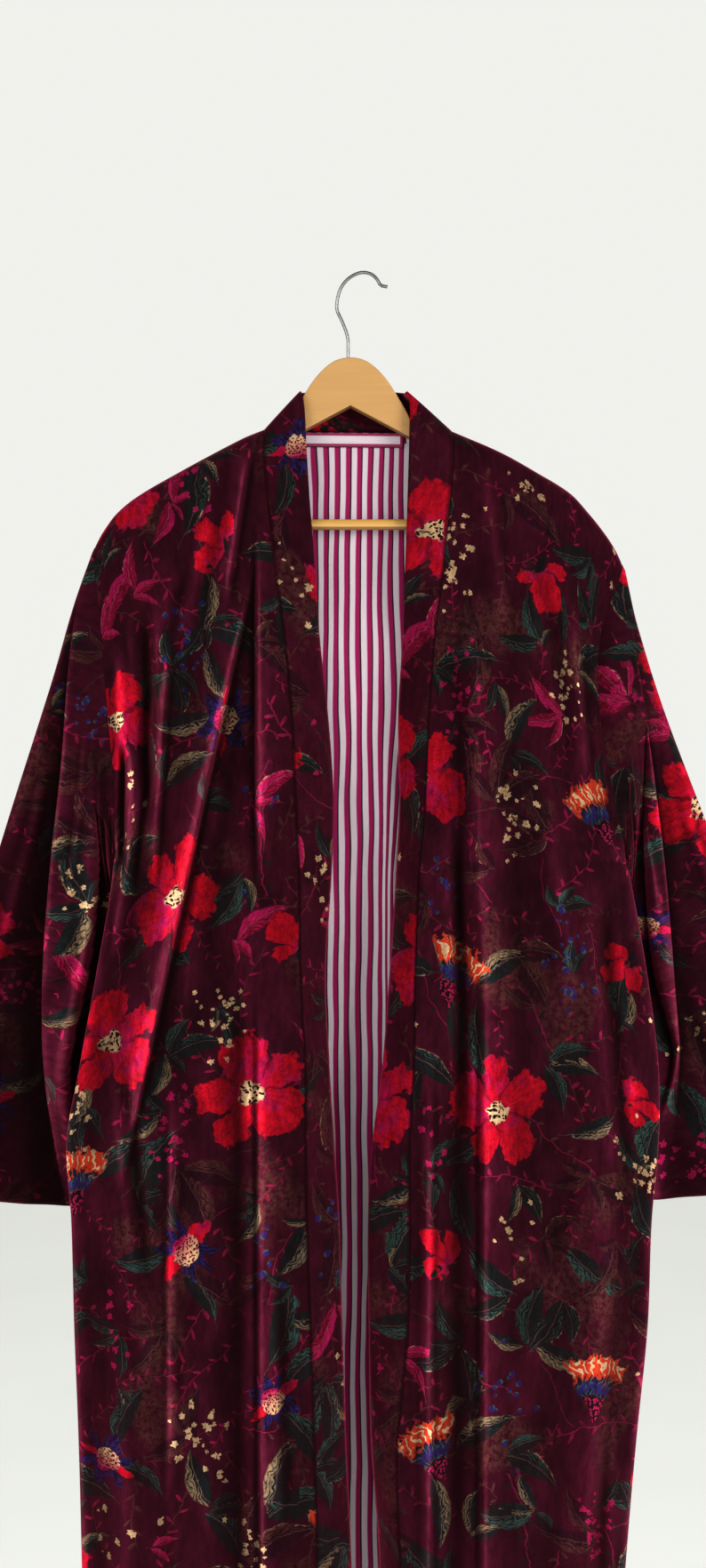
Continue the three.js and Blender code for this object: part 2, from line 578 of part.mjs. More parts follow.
// The neckband behind the neck: it stands up from the back neckline
function neckBandWall() {
  const grid = Array.from({ length: NECK_STATIONS + 1 }, (_, i) => {
    const angle = Math.PI * i / NECK_STATIONS;
    const across = (1 - Math.cos(angle)) / 2;
    const seamX = mix(neckLeft.x + SEAM_GAP, neckRight.x - SEAM_GAP, across);
    const seam = new THREE.Vector3(
      seamX,
      mix(HALF_GAP, depth(topDrop(seamX), 'back'), insideNeck(seamX)),
      -topDrop(seamX) + SEAM_GAP,
    );
    const rise = Math.sin(angle) ** 0.6;
    const free = new THREE.Vector3(
      mix(COLLAR_LEFT.x, COLLAR_RIGHT.x, across),
      Math.max(COLLAR_BACK_DEPTH * rise, HALF_GAP),
      -mix(COLLAR_LEFT.drop, COLLAR_BACK_DROP, Math.sin(angle)),
    );
    return bandStrip(seam, free, BAND_CROWN * rise, new THREE.Vector3(0, 1, 0));
  });
  const outside = (point) => new THREE.Vector3(point.x * 0.01, 1, 0.4);
  const last = grid.length - 1;
  const inner = insetGrid(grid, normalsOf(grid, outside), BAND_CLOTH,
    (r, c) => [...(r === 0 || r === last ? [Y_AXIS] : []), ...(c === 0 ? [Z_AXIS] : [])]);
  return wallBetween(grid, inner);
}

// The lining of the back: the back's inside moved forwards, clear of the side seams
function liningWall(back) {
  const margin = EDGE_COLUMNS.length + 1;
  const cut = (grid) => grid.slice(ROLL_ANGLES.length).map((line) => line.slice(margin, -margin));
  const outerFace = cut(insetGrid(back.outer, back.normals, CLOTH + SEAM_GAP));
  const innerFace = cut(insetGrid(back.outer, back.normals, CLOTH + SEAM_GAP + LINING_CLOTH));
  return wallBetween(outerFace, innerFace);
}

// The striped strip that covers the seam under the back neckband
function bindingWall() {
  const inset = CLOTH + SEAM_GAP + LINING_CLOTH + SEAM_GAP;
  const face = (extra) => [1, BINDING_WIDTH / 2, BINDING_WIDTH].map((below) => (
    Array.from({ length: BINDING_COLUMNS }, (_, i) => {
      const x = mix(BINDING_LEFT, BINDING_RIGHT, i / (BINDING_COLUMNS - 1));
      const drop = topDrop(x) + below;
      return new THREE.Vector3(x, depth(drop, 'back') - inset - extra, -drop);
    })));
  return wallBetween(face(0), face(BINDING_CLOTH));
}

function toManifold(geometry) {
  const bare = geometry.clone();
  bare.deleteAttribute('normal');
  bare.deleteAttribute('uv');
  const merged = mergeVertices(bare);
  return new wasm.Manifold(new wasm.Mesh({
    numProp: 3,
    vertProperties: new Float32Array(merged.getAttribute('position').array),
    triVerts: new Uint32Array(merged.getIndex().array),
  }));
}

function fromManifold(solid) {
  const result = solid.getMesh();
  const geometry = new THREE.BufferGeometry();
  geometry.setAttribute('position', new THREE.BufferAttribute(result.vertProperties, 3));
  geometry.setIndex(new THREE.BufferAttribute(result.triVerts, 1));
  return geometry;
}

// One closed body with its shared points merged
const closedBody = (geometry) => fromManifold(toManifold(geometry));

// The hanger's outline. The dome's points are offsets from its centre with their drops, joined
// by a smooth curve, and the arms follow the shoulders, far enough under them for the cloth.
const DOME_POINTS = [
  [11, 77.8], [20, 83], [28, 90.5], [35.5, 100], [42, 110.5], [49, 122], [55, 134],
];
const DOME_STEPS = 42;
const NOTCH_DROP = 119.5;
const ARM_COVER_DROP = 6;
const ARM_POINTS = [72, 92, 128, 166];
const TIP_POINTS = [[184, 13], [192, 28]];
const TIP_UNDER_BAR = [[189, 9], [172, 8]];    // the tips reach this far under the bar
const ARM_UNDER_POINTS = [[150, 6], [80, 0]];

const domePoints = (sign) => DOME_POINTS.map(
  ([offset, drop]) => new THREE.Vector2(HANGER_CENTRE + sign * offset, -drop),
);

function hangerOutline() {
  const dome = new THREE.SplineCurve([
    ...domePoints(-1).toReversed(),
    new THREE.Vector2(HANGER_CENTRE, -DOME_DROP),
    ...domePoints(1),
  ]);
  const half = (sign) => {
    const at = (offset, drop) => [HANGER_CENTRE + sign * offset, -drop];
    const armTop = (offset) => topDrop(HANGER_CENTRE + sign * offset) + ARM_COVER_DROP;
    const tipTop = armTop(ARM_POINTS.at(-1));
    return [
      ...ARM_POINTS.map((offset) => at(offset, armTop(offset))),
      ...TIP_POINTS.map(([offset, below]) => at(offset, tipTop + below)),
      ...TIP_UNDER_BAR.map(([offset, below]) => at(offset, BAR_DROP + below)),
      ...ARM_UNDER_POINTS.map(([offset, below]) => at(offset, NOTCH_DROP + offset * HANGER_SLOPE + below)),
    ];
  };
  return [
    ...dome.getPoints(DOME_STEPS).map(({ x, y }) => [x, y]),
    ...half(1),
    [HANGER_CENTRE, -NOTCH_DROP],
    ...half(-1).toReversed(),
  ];
}

function barGeometry(clearance = 0) {
  const r = BAR_RADIUS + clearance;
  const pin = PIN_RADIUS + clearance;
  const shoulder = BAR_HALF_LENGTH + clearance;
  const end = BAR_HALF_LENGTH + PIN_LENGTH + clearance;
  const profile = [
    [0, -end], [pin, -end], [pin, -shoulder], [r, -shoulder],
    [r, shoulder], [pin, shoulder], [pin, end], [0, end],
  ].map(([radius, along]) => new THREE.Vector2(radius, along));
  const geometry = new THREE.LatheGeometry(profile, 12);
  geometry.rotateZ(-Math.PI / 2);
  geometry.translate(HANGER_CENTRE, 0, -BAR_DROP);
  return geometry;
}

// Middle line of the hook's wire, from inside the wood up and round to its open end
const HOOK_POINTS = [
  [-12.4, -92], [-12.4, -70], [-12.8, -57], [-17.6, -43], [-22.4, -32], [-21.9, -22],
  [-18.6, -12], [-11.8, -3.8], [-1, 1.4], [8, 0.2], [13.6, -4.6], [17, -10], [23, -11.4],
];

function hookGeometry(clearance = 0) {
  const line = new THREE.CatmullRomCurve3(HOOK_POINTS.map(([x, z]) => new THREE.Vector3(x, 0, z)));
  const section = new THREE.Shape().absarc(0, 0, WIRE_RADIUS + clearance, 0, 2 * Math.PI);
  return new THREE.ExtrudeGeometry(section, {
    steps: 52, curveSegments: 5, bevelEnabled: false, extrudePath: line,
  });
}

function woodGeometry() {
  const shape = new THREE.Shape(hangerOutline().map(([x, z]) => new THREE.Vector2(x, z)));
  const geometry = new THREE.ExtrudeGeometry(shape, {
    depth: WOOD_THICKNESS - 2 * WOOD_BEVEL,
    bevelEnabled: true,
    bevelThickness: WOOD_BEVEL,
    bevelSize: WOOD_BEVEL,
    bevelOffset: -WOOD_BEVEL,
    bevelSegments: 2,
    curveSegments: 8,
  });
  geometry.translate(0, 0, -(WOOD_THICKNESS / 2 - WOOD_BEVEL));
  geometry.rotateX(Math.PI / 2);
  const socket = toManifold(barGeometry(SEAM_GAP));
  const stemHole = toManifold(hookGeometry(SEAM_GAP));
  return fromManifold(toManifold(geometry).subtract(socket).subtract(stemHole));
}

const robe = new THREE.Group();
const panels = panelWalls();
const { frontLeft, frontRight, back } = panels;

robe.add(mesh('back', wallBetween(back.outer, back.inner), COLOURS.velvet));
robe.add(mesh('front_left', wallBetween(frontLeft.outer, frontLeft.inner), COLOURS.velvet));
robe.add(mesh('front_right', wallBetween(frontRight.outer, frontRight.inner), COLOURS.velvet));
robe.add(mesh('sleeve_left', sleeveWall(frontLeft, back, LEFT), COLOURS.velvet));
robe.add(mesh('sleeve_right', sleeveWall(frontRight, back, RIGHT), COLOURS.velvet));
robe.add(mesh('band_left', frontBandWall(frontLeft.outer, LEFT), COLOURS.velvet));
robe.add(mesh('band_right', frontBandWall(frontRight.outer, RIGHT), COLOURS.velvet));
robe.add(mesh('band_neck', neckBandWall(), COLOURS.velvet));
robe.add(mesh('lining_back', liningWall(back), COLOURS.lining));
robe.add(mesh('neck_binding', bindingWall(), COLOURS.binding));

const hanger = new THREE.Group();
hanger.add(mesh('hanger_wood', woodGeometry(), COLOURS.wood, 0.5));
hanger.add(mesh('hanger_bar', closedBody(barGeometry()), COLOURS.bar, 0.5));
hanger.add(mesh('hanger_hook', closedBody(hookGeometry()), COLOURS.steel, 0.3, 1));
robe.add(hanger);

export default robe;
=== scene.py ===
"""A long velvet kimono robe with a striped lining, hanging on a flat wooden hanger.

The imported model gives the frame. Each cloth piece is rebuilt here as a fine thin wall on the
same form, from the same sizes, with more folds and creases, and takes its solid's place. The
hanger's own solids stay and get their finish. Sizes are in millimetres in the tables and
formulas, and MM turns them into Blender's metres. Left and right are the viewer's.
"""
import math
import random
from functools import partialmethod
from types import SimpleNamespace

import bpy
import numpy as np
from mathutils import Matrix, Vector


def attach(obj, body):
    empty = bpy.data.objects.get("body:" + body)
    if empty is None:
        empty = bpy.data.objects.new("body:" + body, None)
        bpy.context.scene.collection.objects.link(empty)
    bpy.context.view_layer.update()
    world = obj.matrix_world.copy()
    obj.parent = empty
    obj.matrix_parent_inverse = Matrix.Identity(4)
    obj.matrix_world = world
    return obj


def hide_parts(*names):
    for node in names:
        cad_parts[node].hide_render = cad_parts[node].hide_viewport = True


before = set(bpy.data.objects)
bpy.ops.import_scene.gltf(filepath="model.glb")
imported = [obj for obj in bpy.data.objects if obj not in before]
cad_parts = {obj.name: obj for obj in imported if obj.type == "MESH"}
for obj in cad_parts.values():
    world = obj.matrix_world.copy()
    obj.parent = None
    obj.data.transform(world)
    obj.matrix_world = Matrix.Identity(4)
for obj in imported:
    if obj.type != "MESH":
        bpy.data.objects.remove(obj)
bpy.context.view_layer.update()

MM = 0.001
LEFT, RIGHT = -1, 1
X_AXIS, Y_AXIS, Z_AXIS = 0, 1, 2
ALL = slice(None)

# Sizes of the robe. Every `drop` is a distance under the top of the hook's inside.
CLOTH = 1.8
BAND_CLOTH = 2.8
LINING_CLOTH = 0.8
BINDING_CLOTH = 1.2
SEAM_GAP = 0.3
HALF_GAP = SEAM_GAP / 2
BAND_GAP = 0.05                 # between the fronts and their neckband
HEM_DROP = 1300
ARM_COVER = 9.5                 # from the middle of a hanger's arm to the cloth over it
EDGE_ROLL = 7
EDGE_ROLL_SHARE = 0.3
SIDE_BLEND = 60
FOLD_MARGIN = 16
BAND_WIDTH = 38
BAND_TURN = 0.8
BAND_TURN_START = 20
BAND_TURN_REACH = 100
BAND_CROWN = 2.0
BINDING_WIDTH = 13.5
BINDING_LEFT, BINDING_RIGHT = -61, 37
NECK_BLEND = 25
BAR_DROP = 225.5
ARMHOLE_END = 0.25
ARMHOLE_HALF_DEPTH = 4
ARMHOLE_SPREAD = 150
SIDE_SEAM_START = 40
UNDERARM_CLOSE = 15
UNDERARM_EASE = 0.6
SLEEVE_SETTLED = 0.3
TOP_ROUND = 12
UNDER_ROUND = 14


def table(columns, rows):
    """A small table as one array for each named column."""
    return dict(zip(columns.split(), np.array(rows, float).T))


BODY_EDGES = table("drop side_l seam_l free_l free_r seam_r side_r", [
    (140, -240, -87.4, -50.0, 44.5, 80.5, 234),
    (172, -240, -87.2, -49.2, 42.0, 81.0, 234),
    (252, -239, -79.0, -42.8, 38.8, 73.5, 235),
    (330, -231, -68.7, -37.5, 36.2, 64.2, 211),
    (400, -225, -62.3, -30.0, 32.4, 58.9, 211),
    (473, -220, -58.8, -25.2, 33.5, 55.4, 224),
    (540, -222, -55.6, -27.1, 30.3, 49.7, 238),
    (630, -236, -54.0, -32.2, 24.2, 45.9, 253),
    (710, -250, -49.5, -28.8, 17.9, 44.8, 262),
    (775, -261, -49.2, -24.8, 9.1, 41.0, 262),
    (845, -257, -48.3, -20.0, 5.2, 40.9, 256),
    (940, -255, -44.8, -17.3, 5.9, 39.0, 253),
    (1040, -252, -41.5, -14.0, 7.7, 30.0, 244),
    (1140, -250, -39.0, -9.5, 15.0, 33.0, 236),
    (1300, -247, -36.0, -6.0, 20.0, 44.0, 225),
])
BODY_DEPTHS = table("drop front back side", [
    (140, -9.5, 10.5, 0),
    (200, -12, 11.5, -1),
    (300, -17, 13, -3),
    (400, -23, 16, -7),
    (520, -29, 20, -14),
    (700, -36, 26, -24),
    (850, -40, 30, -24),
    (1100, -44, 35, -14),
    (1300, -46, 38, -8),
])
SHOULDER_LEFT = table("x drop", [
    (-240, 246.5), (-233, 233.5), (-221, 216.5), (-205, 202.5),
    (-177, 185.5), (-109, 149), (-87.4, 140),
])
SHOULDER_RIGHT = table("x drop", [
    (80.5, 141.5), (122, 159.5), (154, 177), (186, 197.5),
    (202, 216), (218, 237), (234, 261.5),
])

# Folds and creases: each runs between two heights, leaning from x to x_end. It stands out by
# `rise`, or lies in where that is negative, with its own reach to either side.
FOLD_COLUMNS = "top low x x_end rise left right"
FOLDS_FRONT_LEFT = table(FOLD_COLUMNS, [
    (150, 310, -101, -124, 7, 20, 7),
    (250, 830, -94, -217, 13, 40, 5),
    (360, 700, -106, -146, -5.5, 18, 30),
    (290, 500, -194, -190, -8, 14, 12),
    (220, 560, -92, -90, 7, 5, 34),
    (600, 1300, -90, -86, 4.5, 5, 34),
    (560, 1300, -112, -108, -6, 30, 14),
    (760, 1300, -168, -156, 3, 44, 36),
    # creases
    (310, 570, -172, -187, 6, 15, 8),
    (330, 470, -217, -214, 5, 10, 12),
    (250, 420, -150, -196, -2.6, 12, 10),
    (205, 330, -134, -160, 2.4, 12, 16),
    (420, 620, -203, -222, 7, 6, 16),
    (415, 545, -213, -213, -13, 6, 6),
    (495, 590, -211, -232, -11, 6, 6),
    (430, 560, -184, -204, -3, 9, 9),
    (680, 900, -210, -188, -4.5, 14, 10),
    (700, 1120, -167, -168, 2.4, 5, 9),
    (900, 1240, -214, -206, 2, 22, 16),
    (860, 1120, -72, -66, -2.6, 9, 12),
    (1010, 1300, -196, -190, -1.6, 16, 18),
])
FOLDS_FRONT_RIGHT = table(FOLD_COLUMNS, [
    (290, 720, 98, 110, 10, 18, 34),
    (560, 1300, 109, 106, 7, 8, 36),
    (470, 780, 84, 90, -7, 12, 10),
    (620, 1300, 84, 82, -6, 18, 16),
    (700, 1300, 178, 170, -3.5, 40, 34),
    # creases
    (660, 1300, 59, 57, 4, 10, 7),
    (170, 330, 106, 128, 4, 16, 10),
    (235, 420, 152, 186, -3.4, 12, 14),
    (290, 470, 184, 199, 4.5, 14, 8),
    (450, 660, 160, 186, 3, 18, 12),
    (540, 830, 212, 234, -4.5, 14, 12),
    (800, 1100, 216, 204, 3, 20, 14),
    (900, 1240, 138, 144, 1.6, 20, 24),
    (980, 1300, 214, 206, -3, 14, 10),
])
FOLDS_BACK = table(FOLD_COLUMNS, [
    (420, 1300, -150, -168, 8, 30, 22),
    (520, 1300, -96, -104, -6, 24, 26),
    (330, 1300, 8, -6, 5, 34, 30),
    (480, 1300, 88, 92, -6, 26, 24),
    (400, 1300, 142, 150, 8, 24, 34),
    (370, 660, 22, 27, -4.5, 18, 10),
    # creases
    (190, 360, -128, -176, 2.2, 14, 12),
    (230, 430, 138, 186, 2.4, 12, 15),
    (300, 520, -192, -204, -2.4, 12, 14),
    (340, 600, 190, 206, -2.2, 14, 12),
    (620, 980, -40, -52, 2.6, 16, 12),
    (700, 1160, 44, 52, 2.4, 12, 16),
    (900, 1300, -208, -202, 2.8, 14, 12),
    (820, 1240, 204, 196, -2.4, 12, 14),
    (1000, 1300, 20, 26, -2.2, 14, 12),
])

# The sleeves at each share of their length: the folded top edge, the underarm seam, and the
# depth of the flattened tube. `lap` is the share of the width where the front folds over.
SLEEVE_COLUMNS = "share top_x top_drop under_x under_drop middle half lap"
SLEEVE_LEFT = table(SLEEVE_COLUMNS, [
    (0, -240, 246.5, -219, 517, -6, 15, 0),
    (0.1, -257, 294, -226, 541, 0, 15, 0.05),
    (0.3, -283, 375, -227, 585, 7, 15, 0.25),
    (0.5, -320, 488, -235, 645, 12, 15, 0.42),
    (0.7, -359, 612, -246, 712, 15, 14, 0.62),
    (0.86, -395, 722, -252, 778, 16, 13, 0.8),
    (1, -430, 831, -258, 842, 16, 12, 0.95),
])
SLEEVE_RIGHT = table(SLEEVE_COLUMNS, [
    (0, 234, 261.5, 235, 528, -6, 15, 0),
    (0.1, 246, 314, 242, 549, 0, 15, 0.14),
    (0.3, 277, 403, 245, 592, 7, 15, 0.34),
    (0.5, 317, 505, 252, 642, 12, 15, 0.56),
    (0.7, 361, 620, 261, 704, 15, 14, 0.74),
    (0.86, 404, 722, 281, 776, 16, 13, 0.86),
    (1, 450, 822, 308, 836, 16, 12, 0.94),
])

# Creases of the sleeves, in shares of the length and of the width from the top edge
CREASE_COLUMNS = "start end across across_end rise reach"
CREASES_LEFT = table(CREASE_COLUMNS, [
    (0.00, 0.30, 0.52, 0.86, 3.4, 0.055),
    (0.02, 0.34, 0.66, 0.97, -3.0, 0.045),
    (0.04, 0.26, 0.78, 0.99, 3.2, 0.050),
    (0.10, 0.52, 0.40, 0.62, 2.4, 0.060),
    (0.30, 0.78, 0.16, 0.22, 2.6, 0.070),
    (0.40, 0.92, 0.74, 0.58, -2.4, 0.080),
    (0.62, 1.00, 0.34, 0.30, 2.8, 0.090),
])
CREASES_RIGHT = table(CREASE_COLUMNS, [
    (0.00, 0.28, 0.48, 0.80, 3.0, 0.050),
    (0.03, 0.36, 0.62, 0.95, -3.2, 0.045),
    (0.05, 0.30, 0.80, 0.99, 2.8, 0.045),
    (0.16, 0.60, 0.50, 0.72, 2.2, 0.060),
    (0.34, 0.84, 0.12, 0.20, 2.6, 0.070),
    (0.55, 1.00, 0.66, 0.50, -2.2, 0.090),
    (0.70, 1.00, 0.28, 0.34, 2.4, 0.080),
])

# The fold that hangs in front of each sleeve, from the lap line to the underarm. A pair after
# an amount says where it sets in and over which distance, and a negative one fades it out.
OUTER_BULGE = 7
PLEAT_SET_IN = (0, 0.25)
PLEAT_FADE = 0.22
PLEAT_ROUND = 15
PLEAT_UNDER_ROUND = 8
PLEAT_GAP = 8                   # the gap that shows between the pleat and the body
GAP_FADES = (0.04, 0.16), (0.92, -0.2)
PLEAT_OVERHANG = 6
OVERHANG_FADES = (0, 10), (34, -24)
UNDERARM_TUCK = 7               # the sleeve's underarm lies this far behind the body's edge
TUCK_FADES = (0, 0.3), (0.75, -0.3)
TUCK_START = (0.08, 0.14)
UNDERARM_HIDE = 4               # and at least this far, just under the armhole
HIDE_FADES = (0, 0.05), (0.75, -0.2)
UNDERARM_CLEARANCE = 0.6
# painted shade in the hollows beside that fold, as a fall in relief that darkens the velvet's colour
HOLLOW_REACH = 60
HOLLOW_MOST = 2.2
HOLLOW_SET_IN = 0.12
CUFF_FADE = (0.4, 0.3)
CREASE_REACH = 22
CREASE_END = (1.04, -0.2)

COLLAR_DROP = 106.5
COLLAR_BACK_DROP = 101
COLLAR_BACK_DEPTH = 16
# The free edge of the neckband below the collar's point, at the stages of its turn into the
# front: the roll's angles first, then the shares of the way down
TURN_ANGLES, TURN_ANGLE_STAGES = (0, 35, 65, 90), (0, 1, 2, 3)
TURN_SHARES, TURN_SHARE_STAGES = (0, 0.02, 0.06), (3, 4, 5)
COLLAR_FALL = table("stage across forward below", [
    (0, 0, 0.15, 0),
    (1, 0.3, 8.5, 1),
    (2, 0.6, 12, 6),
    (3, 0.85, 13, 20),
    (4, 0.95, 14, 44),
    (5, 1.0, 14.6, 88),
])
HANGING_SET_IN = (3.2, 1.8)
BAND_FORWARD = 1                # how far its free edge hangs in front of its seam

# What differs between the sides: their columns in the tables, the folds and creases, the collar,
# and the fold in front of the sleeve with the painted shade beside it
SIDES = {
    LEFT: SimpleNamespace(
        side_edge="side_l", seam_edge="seam_l", free_edge="free_l", edge_column=0,
        folds=FOLDS_FRONT_LEFT, sleeve=SLEEVE_LEFT, creases=CREASES_LEFT,
        shoulder_drop=SHOULDER_LEFT["drop"][0], collar_x=-57,
        pleat_rise=19, pleat_end=1.02, painted_shade_depth=4.4),
    RIGHT: SimpleNamespace(
        side_edge="side_r", seam_edge="seam_r", free_edge="free_r", edge_column=-1,
        folds=FOLDS_FRONT_RIGHT, sleeve=SLEEVE_RIGHT, creases=CREASES_RIGHT,
        shoulder_drop=SHOULDER_RIGHT["drop"][-1], collar_x=39,
        pleat_rise=13, pleat_end=0.88, painted_shade_depth=1.2),
}

# Fineness of the cloth
SEAM_ANGLE = 28          # the shoulder seam lies this far in front of the top edge
ROLL_STEP = 8.0
ARMHOLE_ROWS = 84
LOWER_ROWS = 190
FRONT_COLUMNS = 104
BACK_COLUMNS = 136
EDGE_OFFSETS = (0, 0.8, 2.0, 3.6, 5.2)
EDGE_COLUMNS = len(EDGE_OFFSETS)
SLEEVE_STATIONS = 140
BAND_COLUMNS = 12
NECK_STATIONS = 60
BINDING_COLUMNS, BINDING_ROWS = 50, 8


def clamp(value, low=0.0, high=1.0):
    return np.minimum(np.maximum(value, low), high)


def mix(a, b, share):
    return a + (b - a) * share


def ease(share):
    s = clamp(share)
    return s * s * (3 - 2 * s)


def fades(value, *steps):
    """A rise from 0 to 1 for each start and reach, or a fall where the reach is negative."""
    share = 1
    for start, reach in steps:
        share = share * ease((value - start) / reach)
    return share


def quarter_round(share):
    """Rises like a quarter circle: steep at first, then level."""
    return np.sqrt(1 - (1 - clamp(share)) ** 2)


def read(rows, key, value, column):
    """A column of a table between its rows, on a smooth curve through them."""
    keys, values = rows[key], rows[column]
    at = clamp(np.asarray(value, float), keys[0], keys[-1])
    i = np.clip(np.searchsorted(keys, at, side="right") - 1, 0, len(keys) - 2)
    before = np.maximum(np.arange(len(keys)) - 1, 0)
    after = np.minimum(np.arange(len(keys)) + 1, len(keys) - 1)
    slopes = (values[after] - values[before]) / (keys[after] - keys[before])
    step = keys[i + 1] - keys[i]
    t = (at - keys[i]) / step
    return ((2 * t**3 - 3 * t**2 + 1) * values[i] + (t**3 - 2 * t**2 + t) * step * slopes[i]
            + (3 * t**2 - 2 * t**3) * values[i + 1] + (t**3 - t**2) * step * slopes[i + 1])


def edge(drop, column):
    return read(BODY_EDGES, "drop", drop, column)


def depth(drop, column):
    return read(BODY_DEPTHS, "drop", drop, column)


NECK_LEFT_X, NECK_LEFT_DROP = SHOULDER_LEFT["x"][-1], SHOULDER_LEFT["drop"][-1]
NECK_RIGHT_X, NECK_RIGHT_DROP = SHOULDER_RIGHT["x"][0], SHOULDER_RIGHT["drop"][0]


def top_drop(x):
    """Height of the top edge: the shoulders, with the neckline between."""
    across = clamp((x - NECK_LEFT_X) / (NECK_RIGHT_X - NECK_LEFT_X))
    neck = mix(NECK_LEFT_DROP, NECK_RIGHT_DROP, across)
    left = read(SHOULDER_LEFT, "x", x, "drop")
    right = read(SHOULDER_RIGHT, "x", x, "drop")
    return np.where(x <= NECK_LEFT_X, left, np.where(x >= NECK_RIGHT_X, right, neck))


def inside_neck(x):
    return quarter_round(np.minimum(x - NECK_LEFT_X, NECK_RIGHT_X - x) / NECK_BLEND)


FOLD_FADE = 4            # a fold sets in over a quarter of its length, and a sleeve's over a third
CREASE_FADE = 3


def fold_rise(folds, x, drop):
    """How far the folds move the cloth outwards."""
    total = np.zeros(np.broadcast(x, drop).shape)
    for top, low, start_x, end_x, rise, left, right in zip(*folds.values()):
        along = (drop - top) / (low - top)
        away = x - mix(start_x, end_x, along)
        reach = np.where(away < 0, left, right)
        fade = ease(along * FOLD_FADE)
        if low < HEM_DROP:
            fade = fade * ease((1 - along) * FOLD_FADE)
        total += rise * ease(1 - np.abs(away) / reach) * fade
    return total


# Height of each swell of the cloth, and its length across and down
SWELLS = (0.9, 118, 310), (0.6, -71, 205), (0.4, 47, 122), (0.3, 33, -88)
SWELLS_SET_IN = (200, 200)


def unevenness(x, drop, seed):
    """Gentle swells of soft hanging cloth, about a millimetre high."""
    total = 0
    for i, (height, width, length) in enumerate(SWELLS):
        phase = seed * (i + 1.7)
        total = total + height * np.sin(2 * math.pi * (x / width + drop / length) + phase)
    return total


def side_edge_depth(is_front, drop, underarm):
    """Above the underarm the armhole keeps front and back apart, and below it they meet."""
    outward = -1 if is_front else 1
    meeting = depth(drop, "side")
    closed = meeting + outward * HALF_GAP
    opening = quarter_round((underarm - drop) / UNDERARM_CLOSE)
    near = ease(1 - (underarm - drop) / ARMHOLE_SPREAD)
    own = depth(drop, "front" if is_front else "back")
    opened = mix(own, meeting + outward * ARMHOLE_HALF_DEPTH, near)
    return np.where(drop >= underarm, closed, mix(closed, opened, opening))


def body_depth(is_front, x, drop, inward, underarm, folds):
    """Depth of a panel's outer face: it rolls in from the side seam and carries the folds."""
    outward = -1 if is_front else 1
    full = depth(drop, "front" if is_front else "back")
    at_edge = side_edge_depth(is_front, drop, underarm)
    roll = EDGE_ROLL_SHARE * quarter_round(inward / EDGE_ROLL)
    swell = (1 - EDGE_ROLL_SHARE) * ease((inward - EDGE_ROLL / 2) / SIDE_BLEND)
    closed = ease(1 - (underarm - drop) / SIDE_SEAM_START)
    blend = mix(ease(inward / SIDE_BLEND), roll + swell, closed)
    swells = unevenness(x, drop, len(folds["x"])) * fades(drop, SWELLS_SET_IN)
    rise = fold_rise(folds, x, drop) + swells
    return mix(at_edge, full, blend) + outward * ease(inward / FOLD_MARGIN) * rise


def underarm_drop(side):
    return mix(SIDES[side].shoulder_drop + ARM_COVER, HEM_DROP, ARMHOLE_END)


def panel_rows(first_angle):
    """Each row's angle on the roll over the shoulder and its share of the way down."""
    roll = np.arange(first_angle, 90, ROLL_STEP)
    armhole = np.linspace(0, ARMHOLE_END, ARMHOLE_ROWS + 1)
    lower = np.linspace(ARMHOLE_END, 1, LOWER_ROWS + 1)[1:]
    shares = np.concatenate([armhole, lower])
    angles = np.concatenate([roll, np.full(len(shares), 90.0)])
    shares = np.concatenate([np.zeros(len(roll)), shares])
    return angles[:, None], shares[:, None]


def panel_grid(is_front, first_angle, x_at, inward_at, underarm_of, folds):
    """Points of a body panel's outer face, in rows from the shoulder to the hem."""
    angle, share = panel_rows(first_angle)
    outward = -1 if is_front else 1
    top_x = x_at(np.array([[NECK_LEFT_DROP]]))
    level = 0.0 if is_front else inside_neck(top_x)
    raised = 90 * (angle - first_angle) / (90 - first_angle)
    angle = np.radians(mix(angle, raised, level))
    drop = mix(top_drop(top_x) + ARM_COVER * (1 - np.cos(angle)), HEM_DROP, share)
    x = x_at(drop)
    full = body_depth(is_front, x, drop, inward_at(x, drop), underarm_of(top_x), folds)
    rolled = outward * HALF_GAP + (full - outward * HALF_GAP) * np.sin(angle)
    over = ARM_COVER * np.sin(angle) + HALF_GAP
    rolled = np.where(angle < 0, over, rolled)
    return np.stack([x, mix(rolled, full, level), -drop], axis=-1)


def front_grid(side, first_angle=SEAM_ANGLE):
    """One front, from its side seam to the neckband's seam."""
    facts = SIDES[side]
    offsets = np.concatenate([EDGE_OFFSETS, np.full(FRONT_COLUMNS + 1, EDGE_ROLL)])
    shares = np.concatenate([np.zeros(EDGE_COLUMNS), np.linspace(0, 1, FRONT_COLUMNS + 1)])

    def x_at(drop):
        seam_x = edge(drop, facts.seam_edge) + side * SEAM_GAP
        return mix(edge(drop, facts.side_edge) - side * offsets, seam_x, shares)

    def inward_at(x, drop):
        return np.abs(x - edge(drop, facts.side_edge))

    return panel_grid(True, first_angle, x_at, inward_at, lambda x: underarm_drop(side), facts.folds)


